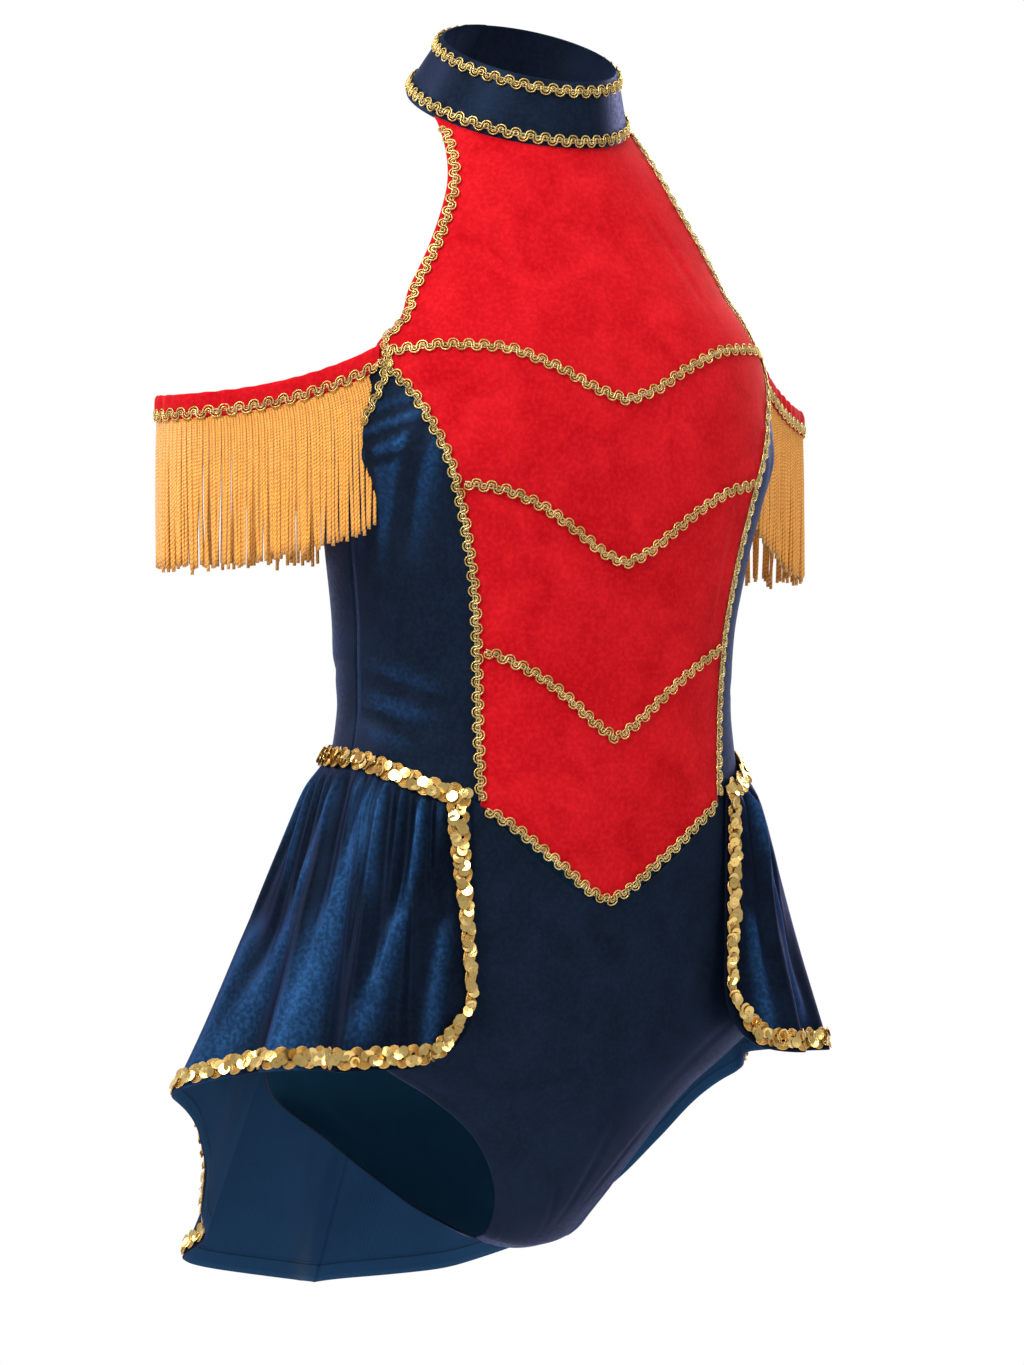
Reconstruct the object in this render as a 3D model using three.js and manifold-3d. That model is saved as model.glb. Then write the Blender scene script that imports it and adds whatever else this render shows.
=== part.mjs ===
// A worn, hollow stage costume in millimetres, +Z up. The wearer faces -Y, and +X is the wearer's left.
// The origin is the middle of the stand collar, where the neck holds the costume.
import * as THREE from 'three';
import Module from 'manifold-3d';
import { mergeVertices } from 'three/addons/utils/BufferGeometryUtils.js';

const wasm = await Module();
wasm.setup();

// Cloth walls and the clearances between pieces
const CLOTH = 1.5;
const SKIRT_CLOTH = 1.2;
const SEAM_GAP = 0.4;
const TRIM_LIFT = 0.6;

// Gold trims
const BRAID_WIDTH = 8;
const BRAID_HEIGHT = 1.5;
const BRAID_INSET = 4.6;
const BRAID_ENDS = { yoke: 8, bust: 7.2, midriff: 7.2, point: 8.2 };
const SEQUIN_WIDTH = 14;
const SEQUIN_HEIGHT = 1.4;

// Collar
const COLLAR_TILT = 22;
const COLLAR_TOP = 25;
const COLLAR_BOTTOM = -11.5;
const COLLAR_TOP_RADIUS = 51;
const COLLAR_BOTTOM_RADIUS = 65;
const COLLAR_CLOTH = 2;
const COLLAR_SIDES = 34;
const COLLAR_BRAID_EDGE = 5.2;
const COLLAR_BRAID_LIFT = 0.4;

// Levels on the centre front, down from the collar
const YOKE_TOP = -35.9;
const UNDERARM = -190;
const PRINCESS_BRAID_TOP = -166;
const PRINCESS_BRAID_BOTTOM = -396;
const WAIST_SEAM_FRONT = -399;
const WAIST_SEAM_SIDE = -376;
const HIP = -525;
const CROTCH = -658;

// Arm bands and fringe
const BAND_HEIGHT = 14;
const BAND_CLOTH = 2.4;
const BAND_START = 2.8;
const BAND_END = 4.2;
const ARM_RADIUS = 43;
const ARM_CENTRE = { x: 166, y: 36 };
const BAND_FRONT = { x: 127.9, y: -49.4, z: -144 };
const BAND_BACK = { x: 106, y: 36.4, z: -170 };
const BAND_OUTER_Z = { R: -173, L: -181 };
const BAND_BOW = 0.8;
const BAND_PUFF = 0.6;
const BAND_BRAID_EDGE = 1.5;
const BAND_BRAID_TRIM = { start: 3, end: 2 };
const BAND_STEPS = 28;
const HEADER_HEIGHT = 5;
const HEADER_CLOTH = 2.7;
const FRINGE_START = 13;
const FRINGE_END = 14;
const STRANDS = 84;
const STRAND_LENGTH = 82;
const STRAND_WIDTH = 2.3;
const STRAND_ROOT = 1;
const STRAND_SWAY = 0.25;
const STRAND_SWING = 0.8;
const STRAND_UNEVEN = 2;
const FRINGE_LIFT = 1.2;

// The front half of the general figure that the cloth is cut for. A section starts at the centre front, at
// y and level, and falls back along its lean, in degrees above level, to its half width at the side.
const FRONT = [
  { level: -36, y: -56.5, lean: 22, half: 66, depth: 66, round: 2.0 },
  { level: -66, y: -65, lean: 16, half: 98, depth: 76, round: 2.2 },
  { level: -92, y: -76, lean: 8, half: 112, depth: 80, round: 2.3 },
  { level: -115, y: -88, lean: 3, half: 117, depth: 84, round: 2.4 },
  { level: -130, y: -97, lean: 0, half: 122, depth: 76, round: 2.4 },
  { level: -150, y: -104, lean: 0, half: 130, depth: 74, round: 2.4 },
  { level: -175, y: -108, lean: 0, half: 134, depth: 76, round: 2.4 },
  { level: -205, y: -110, lean: 0, half: 137, depth: 76, round: 2.4 },
  { level: -235, y: -109, lean: 0, half: 131, depth: 82, round: 2.4 },
  { level: -269, y: -106, lean: 0, half: 124, depth: 88, round: 2.4 },
  { level: -310, y: -101, lean: 0, half: 118, depth: 88, round: 2.4 },
  { level: -345, y: -98, lean: 0, half: 117, depth: 86, round: 2.4 },
  { level: -376, y: -96, lean: 0, half: 121, depth: 84, round: 2.4 },
  { level: -402, y: -95, lean: 0, half: 128, depth: 86, round: 2.4 },
  { level: -460, y: -89, lean: 0, half: 145, depth: 89, round: 2.4 },
  { level: -525, y: -82, lean: 0, half: 156, depth: 88, round: 2.3 },
  { level: -550, y: -79, lean: 5, half: 138, depth: 88, round: 2.1 },
  { level: -573, y: -75, lean: 12, half: 110, depth: 84, round: 2.0 },
  { level: -600, y: -65, lean: 26, half: 82, depth: 70, round: 2.0 },
  { level: -630, y: -45, lean: 42, half: 58, depth: 52, round: 2.0 },
  { level: -648, y: -25, lean: 60, half: 48, depth: 38, round: 2.0 },
  { level: -655, y: -14, lean: 74, half: 45, depth: 30, round: 2.0 },
  { level: -657.5, y: -6, lean: 84, half: 44, depth: 27, round: 2.0 },
  { level: -658, y: -0.3, lean: 90, half: 44, depth: 26, round: 2.0 },
];

// The back half, whose sections run from the centre back forward. Down to the hip they reach the same sides.
const BACK = [
  { level: -165, y: 68, lean: 0, round: 2.3 },
  { level: -190, y: 72, lean: 0, round: 2.3 },
  { level: -235, y: 76, lean: 0, round: 2.3 },
  { level: -310, y: 76, lean: 0, round: 2.3 },
  { level: -345, y: 72, lean: 0, round: 2.2 },
  { level: -376, y: 74, lean: 0, round: 2.2 },
  { level: -402, y: 82, lean: 0, round: 2.2 },
  { level: -460, y: 98, lean: 0, round: 2.2 },
  { level: -525, y: 105, lean: 0, round: 2.2 },
  { level: -573, y: 104, lean: 8, round: 2.2 },
  { level: -610, y: 88, lean: 25, round: 2.0 },
  { level: -640, y: 58, lean: 48, round: 2.0 },
  { level: -653, y: 30, lean: 68, round: 2.0 },
  { level: -657.5, y: 8, lean: 82, round: 2.0 },
  { level: -658, y: 0.3, lean: 90, round: 2.0 },
];
const BACK_BELOW_HIP = [
  { level: -525, half: 156, depth: 99 },
  { level: -573, half: 150, depth: 96 },
  { level: -610, half: 120, depth: 80 },
  { level: -640, half: 78, depth: 52 },
  { level: -653, half: 52, depth: 34 },
  { level: -658, half: 44, depth: 26 },
];

// Levels of the halter braid's points, and where it turns the corner at the underarm
const HALTER_LEVELS = [-48, -56, -66, -78, -90, -102, -114, -126, -136, -143];
const UNDERARM_CORNER = { share: 0.04, level: -153.5, seamLevel: -160 };

// Half width of the red front: the halter edge above the underarm point, the princess seam below it
const FRONT_WIDTH = [
  { level: -36, half: 64 },
  { level: -64, half: 76 },
  { level: -92, half: 92 },
  { level: -112, half: 104 },
  { level: -130, half: 115 },
  { level: -150, half: 128 },
  { level: -175, half: 118 },
  { level: -225, half: 100 },
  { level: -255, half: 92 },
  { level: -285, half: 86 },
  { level: -310, half: 83 },
  { level: -350, half: 81 },
  { level: -402, half: 80 },
  { level: -460, half: 80 },
];

// The V seams of the red front: share of the half width, and the level of each seam there
const V_SEAMS = [
  { share: 0, yoke: -176, bust: -267, midriff: -365, point: -456 },
  { share: 0.16, yoke: -170, bust: -261, midriff: -357, point: -450 },
  { share: 0.36, yoke: -157, bust: -248, midriff: -344, point: -438 },
  { share: 0.6, yoke: -147, bust: -233, midriff: -330, point: -424 },
  { share: 0.8, yoke: -146, bust: -225, midriff: -321, point: -412 },
  { share: 1, yoke: -150, bust: -222, midriff: -314, point: -402 },
];

// Where the leg openings cross the brief, front and back
const LEG_FRONT = [
  { level: -525, half: 156 },
  { level: -540, half: 132 },
  { level: -556, half: 112 },
  { level: -573, half: 88 },
  { level: -600, half: 60 },
  { level: -630, half: 40 },
  { level: -648, half: 33 },
  { level: -658, half: 31 },
];
const LEG_BACK = [
  { level: -525, half: 156 },
  { level: -560, half: 144 },
  { level: -590, half: 112 },
  { level: -620, half: 72 },
  { level: -640, half: 48 },
  { level: -653, half: 35 },
  { level: -658, half: 31 },
];

// Top edge of the back panels: angle from the centre front, in degrees, and its level
const BACK_TOP = [
  { angle: 90, level: -190 },
  { angle: 115, level: -180 },
  { angle: 140, level: -177 },
  { angle: 160, level: -180 },
  { angle: 180, level: -182 },
];

// Hem of the peplum, from its front edge to the centre back: share of the waist seam, and the hem there
const HEM = [
  { share: 0, x: 84, y: -84, z: -545 },
  { share: 0.1, x: 120, y: -82, z: -546 },
  { share: 0.22, x: 152, y: -64, z: -547 },
  { share: 0.34, x: 166, y: -30, z: -548 },
  { share: 0.46, x: 170, y: 12, z: -552 },
  { share: 0.57, x: 168, y: 58, z: -570 },
  { share: 0.65, x: 155, y: 90, z: -608 },
  { share: 0.72, x: 136, y: 120, z: -640 },
  { share: 0.86, x: 82, y: 166, z: -680 },
  { share: 1, x: 0, y: 205, z: -696 },
];

// The soft folds that the gathers run into, from the front edge back: place on the waist seam as a share,
// width as a share, how far each stands out at the hem, how far its crest sweeps back, and how late it starts
const FOLDS_RIGHT = [
  { share: 0.1, width: 0.034, rise: 10, sweep: 0, late: 1.2 },
  { share: 0.22, width: 0.04, rise: 16, sweep: 0, late: 1.2 },
  { share: 0.37, width: 0.045, rise: 18, sweep: 0, late: 1.2 },
  { share: 0.55, width: 0.05, rise: 27, sweep: 0, late: 1.2 },
  { share: 0.715, width: 0.04, rise: 2, sweep: 0, late: 2.6 },
  { share: 0.825, width: 0.045, rise: 30, sweep: -6, late: 1.4 },
  { share: 0.92, width: 0.035, rise: -12, sweep: 0, late: 2.6 },
  { share: 1, width: 0.045, rise: 22, sweep: 0, late: 1.2 },
];
const FOLDS_LEFT = [
  { share: 0.12, width: 0.036, rise: 12, sweep: 0, late: 1.2 },
  { share: 0.25, width: 0.04, rise: 16, sweep: 0, late: 1.2 },
  { share: 0.39, width: 0.042, rise: 18, sweep: 0, late: 1.2 },
  { share: 0.56, width: 0.046, rise: 22, sweep: 0, late: 1.2 },
  { share: 0.7, width: 0.04, rise: 2, sweep: 0, late: 2.6 },
  { share: 0.81, width: 0.046, rise: 30, sweep: -8, late: 1.4 },
  { share: 0.91, width: 0.036, rise: -10, sweep: 0, late: 2.6 },
  { share: 1, width: 0.045, rise: 22, sweep: 0, late: 1.2 },
];
const GATHERS = 20;
const GATHER_RISE = 2;
const SKIRT_COLUMNS = 60;
const SKIRT_ROWS = [0, 0.06, 0.18, 0.42, 0.7, 0.92, 1];
const SKIRT_START_ANGLE = 38.5;
const CENTRE_BACK = 0.9988;
const SKIRT_LIFT = 1.1;
const WAIST_TRIM_START = 0.035;
const CORNER_RADIUS = 40;

// Where the hem trim's points lie down the front edge, and which way it reaches in from each edge, in shares
const HEM_TRIM = {
  downs: [0.1, 0.2, 0.3, 0.41, 0.52, 0.64, 0.76, 0.84, 0.9],
  inset: 0.5,
  inShare: 0.05,
  inDown: 0.92,
  cornerShare: 0.035,
  cornerDown: 0.93,
  turnEnd: 0.11,
  turn: 0.35,
};

const RED = { color: 0xc8141e, roughness: 0.75, metalness: 0 };
const BLUE = { color: 0x16305a, roughness: 0.75, metalness: 0 };
const GOLD = { color: 0xcdaf5f, roughness: 0.4, metalness: 0.8 };
const SEQUIN_GOLD = { color: 0xc39a3c, roughness: 0.3, metalness: 0.9 };
const FRINGE_GOLD = { color: 0xf5a532, roughness: 0.5, metalness: 0 };

const costume = new THREE.Group();

// Smooth interpolation of a table column that never overshoots its rows, and runs straight on past its ends
function column(table, key, name) {
  const rows = [...table].sort((a, b) => a[key] - b[key]);
  const at = rows.map((row) => row[key]);
  const value = rows.map((row) => row[name]);
  const rise = [];
  for (let i = 0; i < rows.length - 1; i++) {
    rise.push((value[i + 1] - value[i]) / (at[i + 1] - at[i]));
  }
  const slope = value.map((_, i) => {
    if (i === 0) return rise[0];
    if (i === rise.length) return rise[i - 1];
    if (rise[i - 1] * rise[i] <= 0) return 0;
    return (2 * rise[i - 1] * rise[i]) / (rise[i - 1] + rise[i]);
  });
  return (x) => {
    if (x <= at[0]) return value[0] + slope[0] * (x - at[0]);
    const last = at.length - 1;
    if (x >= at[last]) return value[last] + slope[last] * (x - at[last]);
    let i = 0;
    while (x > at[i + 1]) i++;
    const span = at[i + 1] - at[i];
    const t = (x - at[i]) / span;
    const rest = 1 - t;
    return (
      value[i] * (1 + 2 * t) * rest * rest +
      value[i + 1] * (3 - 2 * t) * t * t +
      slope[i] * span * t * rest * rest -
      slope[i + 1] * span * t * t * rest
    );
  };
}

function columns(table, key, names) {
  return Object.fromEntries(names.map((name) => [name, column(table, key, name)]));
}

const lerp = THREE.MathUtils.lerp;
const smoothstep = THREE.MathUtils.smoothstep;
const radians = THREE.MathUtils.degToRad;
const degrees = THREE.MathUtils.radToDeg;
const steps = (count) => Array.from({ length: count + 1 }, (_, i) => i / count);

const front = columns(FRONT, 'level', ['y', 'lean', 'half', 'depth', 'round']);
const back = columns(BACK, 'level', ['y', 'lean', 'round']);
const belowHip = columns(BACK_BELOW_HIP, 'level', ['half', 'depth']);
back.half = (level) => (level < HIP ? belowHip.half(level) : front.half(level));
back.depth = (level) =>
  level < HIP ? belowHip.depth(level) : back.y(level) - front.y(level) - front.depth(level);
const frontWidth = column(FRONT_WIDTH, 'level', 'half');
const legFront = column(LEG_FRONT, 'level', 'half');
const legBack = column(LEG_BACK, 'level', 'half');
const backTop = column(BACK_TOP, 'angle', 'level');
const seam = columns(V_SEAMS, 'share', ['yoke', 'bust', 'midriff', 'point']);
const hem = columns(HEM, 'share', ['x', 'y', 'z']);

// A point of the figure: angle in degrees from the centre front to the left, and level at the centre line
function figure(angle, level) {
  const behind = Math.abs(angle) > 90;
  const half = behind ? back : front;
  const power = 2 / half.round(level);
  const turn = radians(angle);
  const across = half.half(level) * Math.sign(angle) * Math.abs(Math.sin(turn)) ** power;
  const fall = half.depth(level) * (1 - Math.abs(Math.cos(turn)) ** power);
  const lean = radians(half.lean(level));
  const toBack = behind ? -1 : 1;
  return new THREE.Vector3(
    across,
    half.y(level) + toBack * fall * Math.cos(lean),
    level + fall * Math.sin(lean),
  );
}

// The angle at which a section's half width reaches x
function angleAt(half, x, level) {
  const share = Math.min(Math.abs(x) / half.half(level), 1);
  return Math.sign(x) * degrees(Math.asin(share ** (half.round(level) / 2)));
}

// A point of the red front by its share of the half width
const frontAngle = (share, level) => angleAt(front, share * frontWidth(level), level);

// The outward normal of the figure, from short steps to both sides
function figureNormal(angle, level) {
  const turn = 0.6;
  const drop = 1.5;
  const across = figure(angle + turn, level).sub(figure(angle - turn, level));
  const down = figure(angle, level - drop).sub(figure(angle, level + drop));
  const normal = across.cross(down).negate().normalize();
  return normal;
}

// A closed mesh from points and triangles, turned so that its faces point out
function closedMesh(points, triangles) {
  let volume = 0;
  const corner = new THREE.Vector3();
  for (const [a, b, c] of triangles) {
    volume += points[a].dot(corner.crossVectors(points[b], points[c]));
  }
  const index = triangles.flatMap(([a, b, c]) => (volume > 0 ? [a, b, c] : [a, c, b]));
  const geometry = new THREE.BufferGeometry().setFromPoints(points);
  geometry.setIndex(index);
  return geometry;
}

// A wall between an outer and an inner grid of points, closed at its four edges
function wall(outer, inner) {
  const rows = outer.length;
  const across = outer[0].length;
  const points = [...outer.flat(), ...inner.flat()];
  const out = (row, col) => row * across + col;
  const under = (row, col) => rows * across + out(row, col);
  const triangles = [];
  const quad = (a, b, c, d) => triangles.push([a, b, c], [a, c, d]);
  for (let row = 0; row < rows - 1; row++) {
    for (let col = 0; col < across - 1; col++) {
      quad(out(row, col), out(row + 1, col), out(row + 1, col + 1), out(row, col + 1));
      quad(under(row, col), under(row, col + 1), under(row + 1, col + 1), under(row + 1, col));
    }
    quad(out(row, 0), under(row, 0), under(row + 1, 0), out(row + 1, 0));
    const end = across - 1;
    quad(out(row, end), out(row + 1, end), under(row + 1, end), under(row, end));
  }
  for (let col = 0; col < across - 1; col++) {
    quad(out(0, col), out(0, col + 1), under(0, col + 1), under(0, col));
    const end = rows - 1;
    quad(out(end, col), under(end, col), under(end, col + 1), out(end, col + 1));
  }
  return closedMesh(points, triangles);
}

// A strip with a four-cornered section through frames, each with a point, its across and its out direction
function strip(frames, section, closed = false) {
  const points = frames.flatMap(({ point, across, out }) =>
    section.map(([a, o]) => point.clone().addScaledVector(across, a).addScaledVector(out, o)),
  );
  const sides = section.length;
  const triangles = [];
  const last = closed ? frames.length : frames.length - 1;
  for (let i = 0; i < last; i++) {
    const next = (i + 1) % frames.length;
    for (let side = 0; side < sides; side++) {
      const other = (side + 1) % sides;
      const [a, b] = [i * sides + side, i * sides + other];
      const [c, d] = [next * sides + other, next * sides + side];
      triangles.push([a, b, c], [a, c, d]);
    }
  }
  if (!closed) {
    const end = (frames.length - 1) * sides;
    for (let side = 1; side < sides - 1; side++) {
      triangles.push([0, side + 1, side], [end, end + side, end + side + 1]);
    }
  }
  return closedMesh(points, triangles);
}

const flatSection = (width, height, lift) => [
  [-width / 2, lift],
  [width / 2, lift],
  [width / 2, lift + height],
  [-width / 2, lift + height],
];

function add(name, geometry, finish) {
  const mesh = new THREE.Mesh(geometry, new THREE.MeshStandardMaterial(finish));
  mesh.name = name;
  costume.add(mesh);
}

// A panel of cloth on the figure, from a grid of angles and levels
function panel(name, grid, finish) {
  const outer = grid.map((row) => row.map(([angle, level]) => figure(angle, level)));
  const inner = grid.map((row, i) =>
    row.map(([angle, level], j) => outer[i][j].clone().addScaledVector(figureNormal(angle, level), -CLOTH)),
  );
  add(name, wall(outer, inner), finish);
}

// Frames along a path of angles and levels on the figure
function framesOnFigure(path) {
  const points = path.map(([angle, level]) => figure(angle, level));
  return path.map(([angle, level], i) => {
    const before = points[Math.max(i - 1, 0)];
    const after = points[Math.min(i + 1, points.length - 1)];
    const out = figureNormal(angle, level);
    const across = after.clone().sub(before).cross(out).normalize();
    return { point: points[i], across, out };
  });
}

function braidOnFigure(name, path) {
  add(name, strip(framesOnFigure(path), flatSection(BRAID_WIDTH, BRAID_HEIGHT, TRIM_LIFT)), GOLD);
}

// Collar: a tilted, slightly conical stand band with a braid near each edge
function collarFrames(height) {
  const tilt = radians(COLLAR_TILT);
  const share = (height - COLLAR_BOTTOM) / (COLLAR_TOP - COLLAR_BOTTOM);
  const radius = lerp(COLLAR_BOTTOM_RADIUS, COLLAR_TOP_RADIUS, share);
  const taper = Math.atan2(COLLAR_BOTTOM_RADIUS - COLLAR_TOP_RADIUS, COLLAR_TOP - COLLAR_BOTTOM);
  return steps(COLLAR_SIDES)
    .slice(0, COLLAR_SIDES)
    .map((turn) => {
      const angle = turn * 2 * Math.PI;
      const radial = new THREE.Vector3(Math.sin(angle), -Math.cos(angle), 0);
      const point = radial.clone().multiplyScalar(radius).setZ(height);
      const out = radial.clone().multiplyScalar(Math.cos(taper)).setZ(Math.sin(taper));
      const across = radial.clone().multiplyScalar(-Math.sin(taper)).setZ(Math.cos(taper));
      for (const vector of [point, out, across]) {
        vector.applyAxisAngle(new THREE.Vector3(1, 0, 0), tilt);
      }
      return { point, across, out };
    });
}

function addCollar() {
  const middle = (COLLAR_TOP + COLLAR_BOTTOM) / 2;
  const slant = Math.hypot(COLLAR_TOP - COLLAR_BOTTOM, COLLAR_BOTTOM_RADIUS - COLLAR_TOP_RADIUS);
  const band = flatSection(slant, COLLAR_CLOTH, -COLLAR_CLOTH);
  add('collar_band', strip(collarFrames(middle), band, true), BLUE);
  const braid = flatSection(BRAID_WIDTH, BRAID_HEIGHT, COLLAR_BRAID_LIFT);
  add('collar_braid_top', strip(collarFrames(COLLAR_TOP - COLLAR_BRAID_EDGE), braid, true), GOLD);
  add('collar_braid_bottom', strip(collarFrames(COLLAR_BOTTOM + COLLAR_BRAID_EDGE), braid, true), GOLD);
}

// Red front: four pieces between the V seams, which share their columns
const FRONT_SHARES = steps(10).map((t) => 2 * t - 1);
const FRONT_PIECES = [
  { name: 'front_yoke', top: () => YOKE_TOP, bottom: seam.yoke, rows: 6, gapTop: 0 },
  { name: 'front_bust', top: seam.yoke, bottom: seam.bust, rows: 5, gapTop: 1 },
  { name: 'front_midriff', top: seam.bust, bottom: seam.midriff, rows: 4, gapTop: 1 },
  { name: 'front_point', top: seam.midriff, bottom: seam.point, rows: 4, gapTop: 1 },
];

function addFront() {
  for (const piece of FRONT_PIECES) {
    const grid = steps(piece.rows).map((down) =>
      FRONT_SHARES.map((share) => {
        const side = Math.abs(share);
        const top = piece.top(side) - (piece.gapTop * SEAM_GAP) / 2;
        const level = lerp(top, piece.bottom(side) + SEAM_GAP / 2, down);
        const inset = 1 - SEAM_GAP / 2 / frontWidth(level);
        return [frontAngle(share * inset, level), level];
      }),
    );
    panel(piece.name, grid, RED);
  }
}

// Levels of the princess seam's points, which the side panels share with the red pieces
const princessLevels = [];
for (const { top, bottom, rows } of FRONT_PIECES.slice(1)) {
  const skip = princessLevels.length ? 1 : 0;
  princessLevels.push(...steps(rows).slice(skip).map((down) => lerp(top(1), bottom(1), down)));
}
princessLevels[princessLevels.length - 1] = WAIST_SEAM_FRONT;
const sideRows = princessLevels.map(
  (level) => (level - princessLevels[0]) / (WAIST_SEAM_FRONT - princessLevels[0]),
);
const SIDE_COLUMNS = 5;
const BACK_COLUMNS = 7;

// The waist seam runs from the front corners up to the sides and level round the back
function waistLevel(angle) {
  const princess = frontAngle(1, WAIST_SEAM_FRONT);
  const share = smoothstep(Math.abs(angle), princess - 8, 92);
  return lerp(WAIST_SEAM_FRONT, WAIST_SEAM_SIDE, share);
}

// The underarm edge falls from the underarm point to the side seam: share of the way round, and level
const underarmLevel = (share) => lerp(princessLevels[0], UNDERARM, Math.sin((share * Math.PI) / 2) ** 0.9);

function sideParam(share, down) {
  const edge = lerp(princessLevels[0], WAIST_SEAM_FRONT, down);
  const seamAngle = frontAngle(1, edge);
  const angle = lerp(seamAngle, 90, share);
  const waistAngle = lerp(frontAngle(1, WAIST_SEAM_FRONT), 90, share);
  return [angle, lerp(underarmLevel(share), waistLevel(waistAngle), down)];
}

function addSides(side, mark) {
  const grid = sideRows.map((down, row) =>
    steps(SIDE_COLUMNS).map((share, col) => {
      const [angle, level] = sideParam(share, down);
      const nudge = col === 0 ? SEAM_GAP / 4 : col === SIDE_COLUMNS ? -SEAM_GAP / 8 : 0;
      const lift = row === sideRows.length - 1 ? SEAM_GAP / 2 : 0;
      return [side * (angle + nudge), level + lift];
    }),
  );
  panel(`side_front_${mark}`, grid, BLUE);
  const backGrid = sideRows.map((down, row) =>
    steps(BACK_COLUMNS).map((share, col) => {
      const angle = lerp(90, 180, share);
      const nudge = col === 0 ? SEAM_GAP / 8 : col === BACK_COLUMNS ? -SEAM_GAP / 8 : 0;
      const lift = row === sideRows.length - 1 ? SEAM_GAP / 2 : 0;
      return [side * (angle + nudge), lerp(backTop(angle), waistLevel(angle), down) + lift];
    }),
  );
  panel(`back_${mark}`, backGrid, BLUE);
}

// Brief: front and back from the waist seam down between the leg openings to the seam under the crotch
function legAngle(half, leg, level) {
  if (level >= HIP) return 90;
  return angleAt(half, Math.min(leg(level), half.half(level)), level);
}

// Levels of the brief's rows below the hip, and how far round to the side seam it reaches
const BRIEF_SIDE = 0.9985;
const BRIEF_LOWER = [-541, -558, -578, -600, -622, -640, -652, -657.5, CROTCH];

function briefGrid(topRow, half, leg, toAngle) {
  const upper = steps(3).map((down) => topRow.map(([angle, level]) => [angle, lerp(level, HIP, down)]));
  const lower = BRIEF_LOWER.map((level) =>
    topRow.map(([angle]) => [(angle / 90) * legAngle(half, leg, level), level]),
  );
  return [...upper, ...lower].map((row) => row.map(([angle, level]) => [toAngle(angle), level]));
}

function addBrief() {
  const rightToLeft = steps(SIDE_COLUMNS).map((share) => sideParam(share, 1));
  const sides = rightToLeft.slice(1).map(([angle, level]) => [angle, level - SEAM_GAP / 2]);
  const middle = FRONT_SHARES.map((share) => {
    const level = seam.point(Math.abs(share)) - SEAM_GAP / 2;
    return [frontAngle(share, level), level];
  });
  const mirrored = sides.map(([angle, level]) => [-angle, level]).reverse();
  panel('brief_front', briefGrid([...mirrored, ...middle, ...sides], front, legFront, (a) => a * BRIEF_SIDE), BLUE);
  const backRow = steps(2 * BACK_COLUMNS).map((t) => {
    const fromBack = lerp(-90, 90, t);
    return [fromBack, waistLevel(180 - Math.abs(fromBack)) - SEAM_GAP / 2];
  });
  const toAngle = (a) => (a < 0 ? -180 : 180) - a * BRIEF_SIDE;
  panel('brief_back', briefGrid(backRow, back, legBack, toAngle), BLUE);
}

// Braid along the V seams, the princess seams, and inside the halter, underarm and back edges
function addBraids() {
  for (const [name, clearance] of Object.entries(BRAID_ENDS)) {
    const end = 1 - clearance / frontWidth(seam[name](1));
    const inner = FRONT_SHARES.filter((share) => Math.abs(share) < end - 0.02);
    const path = [-end, ...inner, end].map((share) => {
      const level = seam[name](Math.abs(share));
      return [frontAngle(share, level), level];
    });
    braidOnFigure(`braid_${name}`, path);
  }
  for (const [side, mark] of [[-1, 'R'], [1, 'L']]) {
    const between = princessLevels.filter(
      (level) => level < PRINCESS_BRAID_TOP - BRAID_WIDTH / 2 && level > PRINCESS_BRAID_BOTTOM,
    );
    const path = [PRINCESS_BRAID_TOP, ...between, PRINCESS_BRAID_BOTTOM].map((level) => [
      side * frontAngle(1, level),
      level,
    ]);
    braidOnFigure(`braid_princess_${mark}`, path);
    addEdgeBraid(side, mark);
  }
}

// The angle that lies a distance in from the halter edge, measured over the cloth
function insideHalter(level, inset) {
  const edge = angleAt(front, frontWidth(level), level);
  const degree = figure(edge, level).distanceTo(figure(edge - 1, level));
  return edge - inset / degree;
}

function addEdgeBraid(side, mark) {
  const halter = HALTER_LEVELS.map((level) => [insideHalter(level, BRAID_INSET), level]);
  const edgeStart = frontAngle(1, UNDERARM_CORNER.seamLevel);
  const underarm = steps(SIDE_COLUMNS)
    .slice(1, -1)
    .map((share) => [lerp(edgeStart, 90, share), underarmLevel(share) - BRAID_INSET]);
  const corner = [[lerp(edgeStart, 90, UNDERARM_CORNER.share), UNDERARM_CORNER.level]];
  const across = steps(BACK_COLUMNS).map((share) => {
    const angle = lerp(90, 180, share);
    return [angle, backTop(angle) - BRAID_INSET];
  });
  across[BACK_COLUMNS][0] -= SEAM_GAP;
  const path = [...halter, ...corner, ...underarm, ...across].map(([angle, level]) => [side * angle, level]);
  braidOnFigure(`braid_edge_${mark}`, path);
}

// Peplum: gathered into the waist seam, with folds that grow towards the hem
const skirtAngle = (share) => lerp(SKIRT_START_ANGLE, 180, share);

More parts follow.
